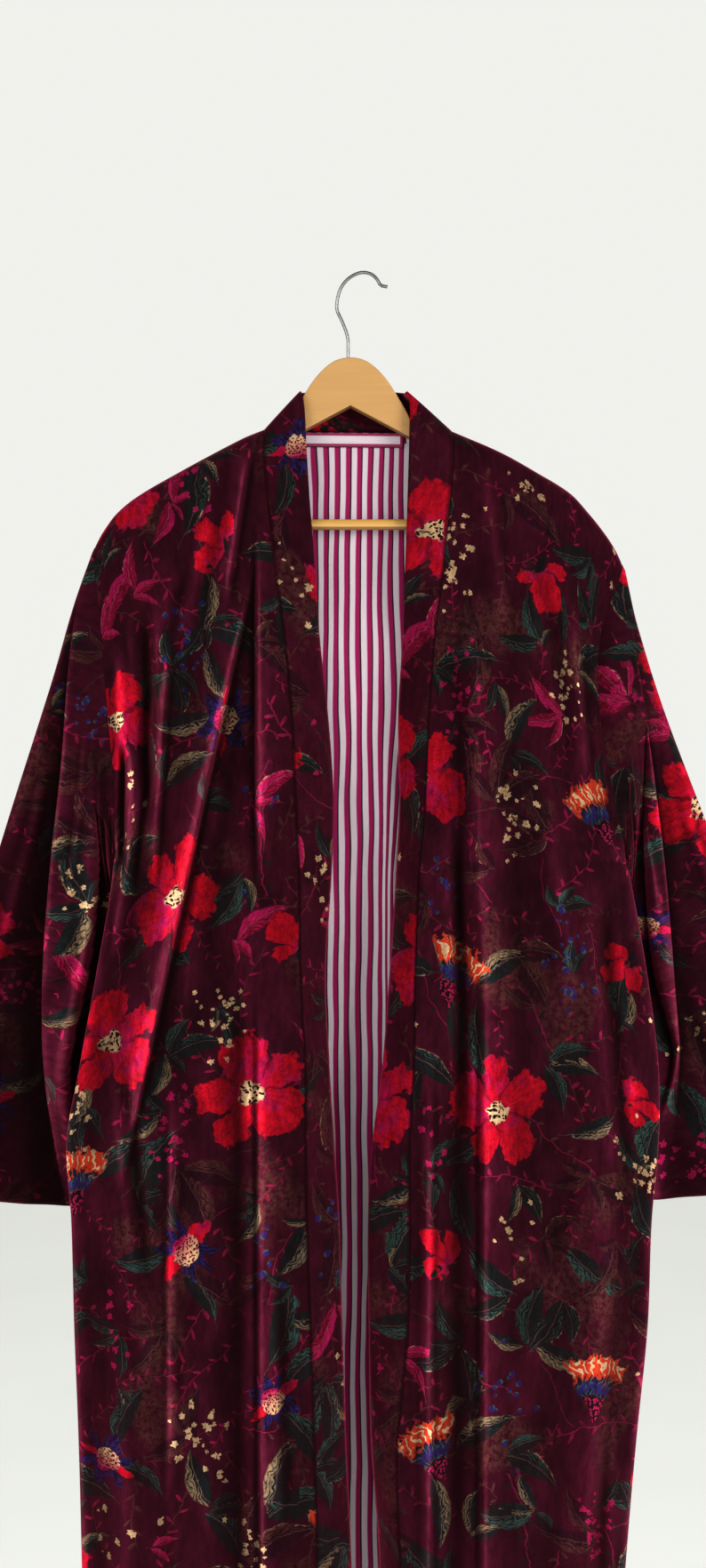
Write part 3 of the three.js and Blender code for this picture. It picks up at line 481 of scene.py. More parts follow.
def back_grid():
    """The back, from the left side seam to the right one."""
    middle = np.full(BACK_COLUMNS + 1, EDGE_ROLL)
    offsets = np.concatenate([EDGE_OFFSETS, middle, np.zeros(EDGE_COLUMNS)])
    shares = np.concatenate([
        np.zeros(EDGE_COLUMNS), np.linspace(0, 1, BACK_COLUMNS + 1), np.ones(EDGE_COLUMNS)])

    def x_at(drop):
        return mix(edge(drop, "side_l") + offsets, edge(drop, "side_r") - offsets[::-1], shares)

    def inward_at(x, drop):
        return np.minimum(x - edge(drop, "side_l"), edge(drop, "side_r") - x)

    def underarm_of(x):
        return np.where(x < 0, underarm_drop(LEFT), underarm_drop(RIGHT))

    return panel_grid(False, -SEAM_ANGLE, x_at, inward_at, underarm_of, FOLDS_BACK)


def normals_of(grid, outside, is_ring=False):
    """Unit vectors square to a grid of points, turned to the side that `outside` points to."""
    down = np.gradient(grid, axis=0)
    if is_ring:
        across = np.roll(grid, -1, axis=1) - np.roll(grid, 1, axis=1)
    else:
        across = np.gradient(grid, axis=1)
    normals = np.cross(across, down)
    normals /= np.maximum(np.linalg.norm(normals, axis=-1, keepdims=True), 1e-9)
    return normals if np.sum(normals * outside) > 0 else -normals


def inset(grid, normals, distance, square_to=()):
    """Points moved against their normals. `square_to` lists rows, columns and an axis each,
    where the wall's edge stays square to that axis so that two pieces meet face to face."""
    turned = normals.copy()
    for rows, columns, axis in square_to:
        turned[rows, columns, axis] = 0
    turned /= np.maximum(np.linalg.norm(turned, axis=-1, keepdims=True), 1e-9)
    return grid - turned * distance


ABOVE_UNDERARM = slice(None, -LOWER_ROWS)
BELOW_UNDERARM = slice(-LOWER_ROWS - 1, None)


def underarm_x(side, share, at):
    """The sleeve's underarm, tucked in behind the body's edge."""
    body_edge = edge(at["under_drop"], SIDES[side].side_edge)
    tucked = at["under_x"] - side * UNDERARM_TUCK * fades(share, *TUCK_FADES)
    x = mix(body_edge + side * UNDERARM_CLEARANCE, tucked, fades(share, TUCK_START))
    hidden = UNDERARM_HIDE * fades(share, *HIDE_FADES)
    return side * np.minimum(side * x, side * body_edge + UNDERARM_CLEARANCE - hidden)


def crease_rise(creases, share, across):
    """How far the creases of a sleeve move the cloth outwards."""
    total = 0
    for start, end, place, end_place, rise, reach in zip(*creases.values()):
        along = (share - start) / (end - start)
        away = np.abs(across - mix(place, end_place, along))
        fade_ends = ease(along * CREASE_FADE) * ease((1 - along) * CREASE_FADE)
        total = total + rise * ease(1 - away / reach) * fade_ends
    return total


SLEEVE_SWELLS = 0.8
SLEEVE_SEED = 2.3
SLEEVE_LENGTH = 600
CREASES_SET_IN = 0.1


def sleeve_grid(front, back, side):
    """Rings of the sleeve's outer face: down the front of the armhole, and up its back. The
    second result is the painted shade of its hollows, as a fall in relief for the velvet's colour."""
    facts = SIDES[side]
    front_edge = front[:-LOWER_ROWS, 0]
    first = np.concatenate([front_edge, back[:-LOWER_ROWS, facts.edge_column][::-1]])
    height = first[:, 2]
    underarm_z, top_z = front_edge[-1, 2], height.max()
    across = (top_z - height) / (top_z - underarm_z)
    order = np.arange(len(first))
    is_front = (order < len(front_edge)) | (order > height.argmax())
    gap = SEAM_GAP + UNDERARM_EASE * ease(1 - (height - underarm_z) / UNDERARM_CLOSE)
    first = first + np.array([side, 0, 0]) * gap[:, None]

    share = np.linspace(0, 1, SLEEVE_STATIONS + 1)[1:, None]
    at = {column: read(facts.sleeve, "share", share, column) for column in facts.sleeve}
    top = np.stack([at["top_x"], -at["top_drop"]], axis=-1)
    under = np.stack([underarm_x(side, share, at), -at["under_drop"]], axis=-1)
    width = np.linalg.norm(under - top, axis=-1)
    round_top = quarter_round(across * width / TOP_ROUND)
    round_under = quarter_round((1 - across) * width / UNDER_ROUND)
    settled = fades(share, PLEAT_SET_IN)
    half = np.where(is_front, mix(at["half"], OUTER_BULGE, settled), at["half"])

    beyond_lap = (across - at["lap"]) * width
    to_underarm = (1 - across) * np.abs(top[..., 0] - under[..., 0])
    shown = settled * ease((facts.pleat_end - share) / PLEAT_FADE) * is_front
    pleat = facts.pleat_rise * quarter_round(beyond_lap / PLEAT_ROUND) * shown
    open_gap = (UNDERARM_TUCK + PLEAT_GAP) * fades(share, *GAP_FADES)
    pleat = pleat * quarter_round((to_underarm - open_gap) / PLEAT_UNDER_ROUND)
    bulge = np.maximum(half * round_top * round_under + pleat, HALF_GAP)
    overhang = PLEAT_OVERHANG * fades(beyond_lap, *OVERHANG_FADES) * shown

    swells = unevenness(across * width, share * SLEEVE_LENGTH, side * SLEEVE_SEED)
    rise = crease_rise(facts.creases, share, across) + SLEEVE_SWELLS * swells
    rise = rise * ease(share / CREASES_SET_IN) * round_top * round_under
    own_depth = at["middle"] + np.where(is_front, -1, 1) * (bulge + rise)
    y = mix(first[:, 1], own_depth, ease(share / SLEEVE_SETTLED))
    place = mix(top, under, across[:, None])
    place = place + (top - under) / width[..., None] * overhang[..., None]
    rings = np.stack([place[..., 0], y, place[..., 1]], axis=-1)
    painted_hollows = sleeve_painted_shade(share, beyond_lap, to_underarm, is_front)
    return np.concatenate([first[None], rings]), facts.painted_shade_depth * painted_hollows


def sleeve_painted_shade(share, beyond_lap, to_underarm, is_front):
    """Painted shade beside the sleeve's own fold, as a share of a fall in relief: behind the lap,
    more so towards the cuff, and down in the crease along the underarm."""
    to_lap = ease((beyond_lap + HOLLOW_REACH) / HOLLOW_REACH)
    behind = (beyond_lap < -1) * (to_lap + fades(share, CUFF_FADE))
    crease = ease(1 - to_underarm / CREASE_REACH) * fades(share, CREASE_END)
    painted_hollows = np.minimum(behind + HOLLOW_MOST * crease, HOLLOW_MOST)
    painted_hollows = -1.0 * is_front * ease(share / HOLLOW_SET_IN) * painted_hollows
    return np.concatenate([np.zeros((1, painted_hollows.shape[1])), painted_hollows])


BOW_ROUNDNESS = 0.6


def strip(seam, free, crown, outside):
    """A band between two lines of points, stuffed a little so that it bows outwards."""
    share = np.linspace(0, 1, BAND_COLUMNS + 1)[None, :, None]
    bow = np.sin(math.pi * share) ** BOW_ROUNDNESS * crown[:, None, None]
    return mix(seam[:, None], free[:, None], share) + bow * np.array(outside)


def front_band_grid(side):
    """The neckband down one front, from the top of the shoulder to the hem."""
    facts = SIDES[side]
    angle, share = (values[:, 0] for values in panel_rows(0))
    seam = front_grid(side, 0)[:, -1] - np.array([side * BAND_GAP, 0, 0])
    drop = -seam[:, 2]
    free_x = edge(drop, facts.free_edge)
    width = np.abs(seam[:, 0] - free_x)
    lost = np.sqrt(np.maximum(BAND_WIDTH**2 - width**2, 0))
    turned = BAND_TURN * lost * ease((drop - BAR_DROP - BAND_TURN_START) / BAND_TURN_REACH)
    hanging = np.stack([free_x, seam[:, 1] - BAND_FORWARD + turned, seam[:, 2]], axis=-1)
    stage = np.where(
        share > 0,
        np.interp(share, TURN_SHARES, TURN_SHARE_STAGES),
        np.interp(angle, TURN_ANGLES, TURN_ANGLE_STAGES))
    fall = {name: read(COLLAR_FALL, "stage", stage, name) for name in COLLAR_FALL}
    standing = np.stack([
        mix(facts.collar_x, free_x, fall["across"]), -fall["forward"],
        -COLLAR_DROP - fall["below"]], axis=-1)
    free = mix(standing, hanging, fades(stage, HANGING_SET_IN)[:, None])
    return strip(seam, free, BAND_CROWN * ease(stage), (0, -1, 0))


def neck_band_grid():
    """The neckband behind the neck, standing up from the back neckline."""
    angle = np.linspace(0, math.pi, NECK_STATIONS + 1)
    across = (1 - np.cos(angle)) / 2
    seam_x = mix(NECK_LEFT_X + SEAM_GAP, NECK_RIGHT_X - SEAM_GAP, across)
    seam_y = mix(HALF_GAP, depth(top_drop(seam_x), "back"), inside_neck(seam_x))
    seam = np.stack([seam_x, seam_y, SEAM_GAP - top_drop(seam_x)], axis=-1)
    rise = np.maximum(np.sin(angle), 0) ** BOW_ROUNDNESS
    free = np.stack([
        mix(SIDES[LEFT].collar_x, SIDES[RIGHT].collar_x, across),
        np.maximum(COLLAR_BACK_DEPTH * rise, HALF_GAP),
        -mix(COLLAR_DROP, COLLAR_BACK_DROP, np.sin(angle))], axis=-1)
    return strip(seam, free, BAND_CROWN * rise, (0, 1, 0))


WIDE_RELIEF = ((38, 0.5), (13, 1.1), (5, 4.0))
NARROW_RELIEF = ((9, 1.5),)


def relief_of(grid, normals, parts=WIDE_RELIEF, is_ring=False):
    """How far each point stands out of the cloth around it, in millimetres: the sum of a few
    neighbourhoods, each with its reach in millimetres and its weight."""
    relief = 0
    count = grid.shape[1]
    spacing = np.median(np.linalg.norm(np.diff(grid, axis=1), axis=-1))
    for distance, weight in parts:
        reach = max(1, round(distance / spacing))
        padded = np.pad(grid, ((0, 0), (reach, reach), (0, 0)), mode="wrap" if is_ring else "edge")
        around = sum(padded[:, i:i + count] for i in range(2 * reach + 1)) / (2 * reach + 1)
        relief = relief + weight * np.sum((grid - around) * normals, axis=-1)
    return relief


def along_lengths(grid, axis):
    """Running length of the cloth along one axis of a grid."""
    steps = np.linalg.norm(np.diff(grid, axis=axis), axis=-1)
    start = np.zeros_like(np.take(steps, [0], axis=axis))
    return np.concatenate([start, np.cumsum(steps, axis=axis)], axis=axis)


# The print: a loose scatter of flowers, leaves, twigs and small blossoms over the cloth. It is
# laid out once on a wide sheet of cloth, in metres, and each piece is cut from its own place.
PRINT_WIDTH, PRINT_HEIGHT = 1.75, 1.75
PRINT_SEED = 27
PRINT_TRIES = 9000
# each layer's motifs with their reach along and across, in shares of their size
MOTIF_REACH = {"twig": (1.05, 0.24), "leaf": (1.08, 0.55), "flower": (1.15, 1.15), "blossom": (1.1, 1.1)}
# the least distance between two places of a layer, and from a place to the flowers
FLOWER_SPACING = 0.122
LEAF_SPACING, LEAF_CLEARANCE = 0.045, 0.062
TWIG_SPACING = 0.043
BLOSSOM_SPACING, BLOSSOM_CLEARANCE = 0.104, 0.066
# the flowers' kinds are 1 open, 2 star, 3 tuft and 4 bud, each with its range of sizes
FLOWER_KINDS = (1, 4, 2, 1, 3, 1)
FLOWER_SIZES = (0.042, 0.058), (0.028, 0.034), (0.034, 0.042), (0.038, 0.048)
TUFT = 3
TONES = (0.02, 0.95)            # each motif draws its own tone


def scattered_places(rng, spacing, taken=(), clearance=0.0):
    """Random places at least `spacing` apart, and `clearance` from the places already taken."""
    places = []
    taken = np.array([(x, y) for x, y, *_ in taken]).reshape(-1, 2)
    for _ in range(PRINT_TRIES):
        place = np.array([rng.uniform(0, PRINT_WIDTH), rng.uniform(0, PRINT_HEIGHT)])
        if places and np.min(np.sum((np.array(places) - place) ** 2, axis=1)) < spacing**2:
            continue
        if len(taken) and np.min(np.sum((taken - place) ** 2, axis=1)) < clearance**2:
            continue
        places.append(place)
    return places


def lay_out_print():
    """Each layer's motifs as rows of x, y, size, angle and kind with a tone behind the point."""
    rng = random.Random(PRINT_SEED)
    layers = {name: [] for name in MOTIF_REACH}

    def add(layer, x, y, size, angle, kind):
        layers[layer].append((x, y, size, angle, kind + rng.uniform(*TONES)))

    def any_angle():
        return rng.uniform(-math.pi, math.pi)

    for i, (x, y) in enumerate(scattered_places(rng, FLOWER_SPACING)):
        kind = FLOWER_KINDS[i % len(FLOWER_KINDS)]
        size = [rng.uniform(*limits) for limits in FLOWER_SIZES][kind - 1]
        add("flower", x, y, size, rng.uniform(-0.7, 0.7) if kind == TUFT else any_angle(), kind)
        first = rng.uniform(0, 2 * math.pi)
        for k in range(rng.choice((1, 2, 2, 3))):
            turn = first + k * rng.uniform(1.1, 2.2)
            length = rng.uniform(0.020, 0.034)
            away = size * 0.70 + length * 0.8
            add("leaf", x + away * math.cos(turn), y + away * math.sin(turn), length,
                turn + rng.uniform(-0.35, 0.35), 1)
    flowers = layers["flower"]
    for x, y in scattered_places(rng, LEAF_SPACING, flowers, LEAF_CLEARANCE):
        first = rng.uniform(0, 2 * math.pi)
        kind = rng.choice((1, 1, 1, 2, 3, 3))
        for k in range(rng.choice((2, 3, 3, 4))):
            turn = first + k * rng.uniform(0.55, 1.15)
            length = rng.choice((0.013, 0.017, 0.022, 0.031)) * rng.uniform(0.85, 1.15)
            away = length * 1.02
            add("leaf", x + away * math.cos(turn), y + away * math.sin(turn), length, turn, kind)
    for x, y in scattered_places(rng, TWIG_SPACING):
        add("twig", x, y, rng.uniform(0.032, 0.056), any_angle(), rng.choice((1, 1, 2, 3)))
    for x, y in scattered_places(rng, BLOSSOM_SPACING, flowers, BLOSSOM_CLEARANCE):
        kind = rng.choice((1, 1, 2, 2, 3))
        for _ in range(rng.choice((10, 17, 26))):
            size = rng.uniform(0.0018, 0.0042)
            add("blossom", x + rng.gauss(0, 0.012), y + rng.gauss(0, 0.022), size, any_angle(), kind)
    return {name: np.array(rows) for name, rows in layers.items()}


PRINT = lay_out_print()
OFF_MOTIF = 9                   # the place given to a face that no motif covers
MOTIF_MARGIN = 0.08             # motifs this far outside a piece can still reach it
MOTIF_SPREAD = 1.3              # how far a motif can reach past its size
FACE_REACH = 0.004
COVER_LIMIT = 1.25              # how near a face lies to a motif that covers it


def motif_coordinates(uv, shown, layer):
    """For each shown face, the place inside the nearest motif, in shares of its size, with its
    kind. `uv` holds the print's coordinates of each face's four corners."""
    motifs, reach = PRINT[layer], MOTIF_REACH[layer]
    result = np.zeros((len(uv), 4, 3))
    result[:, :, 0] = OFF_MOTIF
    corners = uv[shown]
    centres = corners.mean(axis=1)
    low, high = centres.min(axis=0) - MOTIF_MARGIN, centres.max(axis=0) + MOTIF_MARGIN
    motifs = motifs[np.all((motifs[:, :2] > low) & (motifs[:, :2] < high), axis=1)]
    cos, sin = np.cos(motifs[:, 3]), np.sin(motifs[:, 3])
    best = np.full(len(corners), np.inf)
    chosen = np.zeros(len(corners), int)
    for i, (x, y, size, *_) in enumerate(motifs):
        near = np.abs(centres - (x, y)).max(axis=1) < size * MOTIF_SPREAD + FACE_REACH
        dx, dy = (centres[near] - (x, y)).T / size
        along, across = dx * cos[i] + dy * sin[i], dy * cos[i] - dx * sin[i]
        away = np.hypot(along / reach[0], across / reach[1])
        closer = away < best[near]
        indices = np.flatnonzero(near)[closer]
        best[indices] = away[closer]
        chosen[indices] = i
    is_near = best < COVER_LIMIT
    picked = motifs[chosen[is_near]][:, None]
    x, y = np.moveaxis((corners[is_near] - picked[..., :2]) / picked[..., 2:3], -1, 0)
    cos, sin = np.cos(picked[..., 3]), np.sin(picked[..., 3])
    places = np.stack([x * cos + y * sin, y * cos - x * sin, picked[..., 4] + 0 * x], axis=-1)
    result[np.flatnonzero(shown)[is_near]] = places
    return result


def grid_corners(values, is_ring=False):
    """The four corner values of each cell of a grid."""
    if is_ring:
        values = np.concatenate([values, values[:, :1]], axis=1)
    stacked = np.stack([values[:-1, :-1], values[:-1, 1:], values[1:, 1:], values[1:, :-1]], axis=2)
    return stacked.reshape(-1, 4, *values.shape[2:])


def rim_lines(index, is_ring):
    """Point numbers along the edges of a grid, in the order that its cells pass them."""
    if is_ring:
        index = np.concatenate([index, index[:, :1]], axis=1)
        return [index[0], index[-1][::-1]]
    return [np.concatenate([index[0], index[1:, -1], index[-1, -2::-1], index[-2::-1, 0]])]


def add_attribute(mesh, name, kind, domain, field, values):
    mesh.attributes.new(name, kind, domain).data.foreach_set(field, values.ravel())


def cloth_object(name, outer, inner, outer_uv, materials, cell_uv=None, is_ring=False, printed=True,
                 relief=None, facing=()):
    """A closed thin wall between two grids, in metres, with its print coordinates.

    The outside and the rim take the first material and the inside the second one. `facing`
    picks the rows and columns of cells where the outer cloth is turned in over the inside."""
    rows, columns = outer.shape[:2]
    count = rows * columns
    index = np.arange(count).reshape(rows, columns)
    outside = grid_corners(index, is_ring)
    rim = np.concatenate([
        np.stack([line[1:], line[:-1], line[:-1] + count, line[1:] + count], axis=1)
        for line in rim_lines(index, is_ring)])
    faces = np.concatenate([outside, rim, outside[:, ::-1] + count])
    points = np.concatenate([outer.reshape(-1, 3), inner.reshape(-1, 3)]) * MM
    a, b, c = (points[outside[:, i]] for i in range(3))
    is_flipped = np.sum(np.cross(b - a, c - a) * (a - points[outside[:, 0] + count])) < 0
    if is_flipped:
        faces = faces[:, ::-1]
    uv = np.concatenate([outer_uv.reshape(-1, 2)] * 2)[faces]
    if cell_uv is not None:
        uv[:len(outside)] = cell_uv[:, ::-1] if is_flipped else cell_uv
    is_inside = np.arange(len(faces)) >= len(outside) + len(rim)
    is_lined = is_inside.copy()
    for cells in facing:
        is_lined[-len(outside):].reshape(rows - 1, -1)[cells] = False

    mesh = bpy.data.meshes.new(name)
    mesh.vertices.add(len(points))
    mesh.vertices.foreach_set("co", points.ravel())
    mesh.loops.add(faces.size)
    mesh.loops.foreach_set("vertex_index", faces.ravel())
    mesh.polygons.add(len(faces))
    for field, values in (
        ("loop_start", np.arange(0, faces.size, 4)),
        ("loop_total", np.full(len(faces), 4)),
        ("use_smooth", np.ones(len(faces), bool)),
        ("material_index", is_lined.astype(int)),
    ):
        mesh.polygons.foreach_set(field, values)
    for material in materials:
        mesh.materials.append(material)
    mesh.uv_layers.new(name="cloth").data.foreach_set("uv", uv.ravel())
    if printed:
        shown = ~is_inside | (materials[0] is materials[1])
        for layer in MOTIF_REACH:
            places = motif_coordinates(uv, shown, layer)
            add_attribute(mesh, layer, "FLOAT_VECTOR", "CORNER", "vector", places)
    if relief is not None:
        add_attribute(mesh, "relief", "FLOAT", "POINT", "value", np.concatenate([relief.ravel()] * 2))
    mesh.update()
    mesh.validate()
    made = bpy.data.objects.new(name, mesh)
    bpy.context.scene.collection.objects.link(made)
    return made


# Materials

def srgb(red, green, blue):
    """A colour as it is seen, 0 to 255, as the linear values that shaders take."""
    def linear(value):
        share = value / 255
        return share / 12.92 if share <= 0.04045 else ((share + 0.055) / 1.055) ** 2.4
    return (linear(red), linear(green), linear(blue), 1)


def join(tree, node, inputs):
    """Sets a node's inputs, by name or number, to values, wires or the outputs of nodes."""
    for name, value in inputs.items():
        if isinstance(value, Wire):
            value = value.socket
        if isinstance(value, bpy.types.NodeSocket):
            tree.links.new(value, node.inputs[name])
        else:
            node.inputs[name].default_value = value


def add_node(tree, kind, inputs, **settings):
    node = tree.nodes.new("ShaderNode" + kind)
    for name, value in settings.items():
        setattr(node, name, value)
    join(tree, node, inputs)
    return node


class Wire:
    """A number that comes out of a node, and can stand in a formula."""

    def __init__(self, tree, socket):
        self.tree, self.socket = tree, socket

    def math(self, operation, *others, clamped=False):
        inputs = dict(enumerate((self, *others)))
        node = add_node(self.tree, "Math", inputs, operation=operation, use_clamp=clamped)
        return Wire(self.tree, node.outputs[0])

    __add__ = __radd__ = partialmethod(math, "ADD")
    __sub__ = partialmethod(math, "SUBTRACT")
    __rsub__ = partialmethod(math, "MULTIPLY_ADD", -1.0)
    __mul__ = __rmul__ = partialmethod(math, "MULTIPLY")
    __truediv__ = partialmethod(math, "DIVIDE")
    __pow__ = partialmethod(math, "POWER")
    sin = partialmethod(math, "SINE")
    abs = partialmethod(math, "ABSOLUTE")
    fract = partialmethod(math, "FRACT")

    def over(self, limit, softness):
        """0 under the limit and 1 above it, with a soft step."""
        return ((self - limit) * (1 / softness)).math("ADD", 0.5, clamped=True)

    def under(self, limit, softness):
        return ((limit - self) * (1 / softness)).math("ADD", 0.5, clamped=True)

    def is_kind(self, kind):
        """1 where the number lies in the unit from `kind` up."""
        return self.math("COMPARE", kind + 0.5, 0.5)


def length(x, y):
    return (x * x + y * y).math("SQRT")


def mixed(share, first, second, blend="MIX"):
    """Two colours, mixed. Each is a colour or the output of a node."""
    inputs = {0: share, 6: first, 7: second}
    return add_node(share.tree, "Mix", inputs, data_type="RGBA", blend_type=blend).outputs[2]


def new_material(name):
    material = bpy.data.materials.new(name)
    material.use_nodes = True
    tree = material.node_tree
    return material, tree, tree.nodes["Principled BSDF"]


def add_bump(tree, shader, height, strength, distance):
    bump = add_node(tree, "Bump", {"Strength": strength, "Distance": distance, "Height": height})
    join(tree, shader, {"Normal": bump.outputs[0]})


def cloth_place(tree, stretch=(1, 1)):
    """The place on the cloth, in metres, stretched by a factor in each direction."""
    uv = add_node(tree, "UVMap", {}, uv_map="cloth")
    return add_node(tree, "Mapping", {"Scale": (*stretch, 1), 0: uv.outputs[0]}).outputs[0]


def noise(tree, place, scale, detail=2, roughness=0.5, distortion=0, output=0, **settings):
    inputs = {"Scale": scale, "Detail": detail, "Roughness": roughness, "Distortion": distortion}
    node = add_node(tree, "TexNoise", {**inputs, "Vector": place}, **settings)
    return Wire(tree, node.outputs[output])


def cloth_noise(tree, scale, detail=2, roughness=0.5, stretch=(1, 1), output=0):
    """Noise on the cloth, stretched by a factor in each direction."""
    place = cloth_place(tree, stretch)
    return noise(tree, place, scale, detail, roughness, output=output, noise_dimensions="2D")


def split(tree, vector):
    node = add_node(tree, "SeparateXYZ", {0: vector})
    return [Wire(tree, output) for output in node.outputs]


def attribute(tree, name):
    return add_node(tree, "Attribute", {}, attribute_name=name).outputs


PLUM = srgb(63, 11, 29)
PLUM_DARK = srgb(38, 6, 17)
BROWN = srgb(78, 42, 36)
RED = srgb(188, 8, 28)
RED_DEEP = srgb(104, 6, 28)
MAGENTA = srgb(166, 18, 74)
CREAM = srgb(212, 170, 126)
BEIGE = srgb(146, 112, 80)
NAVY = srgb(32, 28, 84)
TEAL = srgb(46, 74, 68)
TEAL_DARK = srgb(10, 22, 22)
ORANGE = srgb(196, 52, 28)
PINK = srgb(146, 22, 62)
PALE_PINK = srgb(138, 92, 88)
PAINTED_CREST_HIGHLIGHT = srgb(156, 52, 78)
SHEEN = srgb(190, 62, 92)
NEARLY_BLACK = srgb(14, 8, 14)


def draw_ground(tree):
    """Plum, darker and lighter in clouds, with brown mottled patches."""
    clouds = cloth_noise(tree, 14, 3)
    ground = mixed(clouds.over(0.5, 0.5), PLUM_DARK, PLUM)
    patches = cloth_noise(tree, 11, stretch=(1, 0.8))
    mottle = cloth_noise(tree, 210, roughness=0.7)
    brown = patches.over(0.64, 0.10) * mottle.over(0.48, 0.25)
    return mixed(brown * 0.75, ground, BROWN)


def draw_twigs(tree, colour, wobble):
    """Thin curved stems with small slanted leaves to either side."""
    along, across, kind = split(tree, attribute(tree, "twig")["Vector"])
    tone = kind.fract()
    across = across - ((along * 3.4 + tone * 6.0).sin() * 0.08) - wobble * 0.16
    shown = along.abs().under(0.95, 0.04)
    stem = across.abs().under(0.010, 0.012) * shown
    steps = along * 5.0 + 0.25
    cell = steps.fract() - 0.5
    side = (steps.math("FLOOR") * 0.5).fract() * 4.0 - 1.0
    out = across * side
    slant = cell * 0.2 - (out - 0.06) * 0.55
    leaflet = ((slant / 0.034) ** 2.0) + (((out - 0.085) / 0.075) ** 2.0)
    leaf = leaflet.under(1.0, 0.6) * shown * (wobble * 3.0 + 0.75).math("ADD", 0.0, clamped=True)
    leaf_colour = mixed(kind.is_kind(1), mixed(kind.is_kind(2), BROWN, TEAL_DARK), PINK)
    stem_colour = mixed(tone.over(0.5, 0.1), BROWN, PINK)
    colour = mixed(stem * 0.6, colour, stem_colour)
    return mixed(leaf * 0.8, colour, leaf_colour)


def draw_leaves(tree, colour, wobble, wobble2, brush):
    """Pointed leaves with a midrib, veins, a darker and a lighter half, some only ghosts."""
    along, across, kind = split(tree, attribute(tree, "leaf")["Vector"])
    tone = kind.fract()
    along = along + wobble2 * 0.12
    across = across + (along * along - 0.4) * 0.2 + wobble * 0.16
    spread = (1.0 - along * along).math("MAXIMUM", 0.0) ** 0.9
    slim = 0.24 + (tone * 3.0).math("PINGPONG", 1.0) * 0.16
    half_width = spread * (slim - kind.is_kind(2) * 0.08) * (1.12 - along * 0.35)
    side = across.abs()
    shape = (half_width - side).over(0.0, 0.05)
    hatching = (across * 58.0 + along * 13.0 + wobble * 22.0).sin()
    lit = across.over(0.05, 0.25) * 0.55 + hatching * 0.22 + brush * 0.5
    teal = mixed((lit - tone * 0.40).over(0.62, 0.5), TEAL_DARK, TEAL)
    teal = mixed(tone.under(0.20, 0.02) * lit.over(0.70, 0.3) * 0.8, teal, BEIGE)
    leaf = mixed(kind.is_kind(2), teal, mixed(lit.over(0.4, 0.4), RED_DEEP, MAGENTA))
    leaf = mixed(kind.is_kind(3), leaf, mixed(lit.over(0.66, 0.4), NEARLY_BLACK, BROWN))
    veins = ((along * 24.0) - (side * 34.0) + wobble * 5.0).sin().over(0.82, 0.3) * 0.5
    leaf = mixed(veins, leaf, TEAL_DARK)
    leaf = mixed((side + wobble2 * 0.02).under(0.012, 0.02) * 0.3, leaf, PALE_PINK)
    outline = (half_width - side).under(0.03, 0.04) * tone.over(0.76, 0.02) * across.over(0.08, 0.1)
    leaf = mixed(outline * brush.over(0.54, 0.2) * 0.7, leaf, CREAM)
    solid = (0.98 - kind.is_kind(3) * 0.34) * brush.over(0.26, 0.22)
    return mixed(shape * solid, colour, leaf)


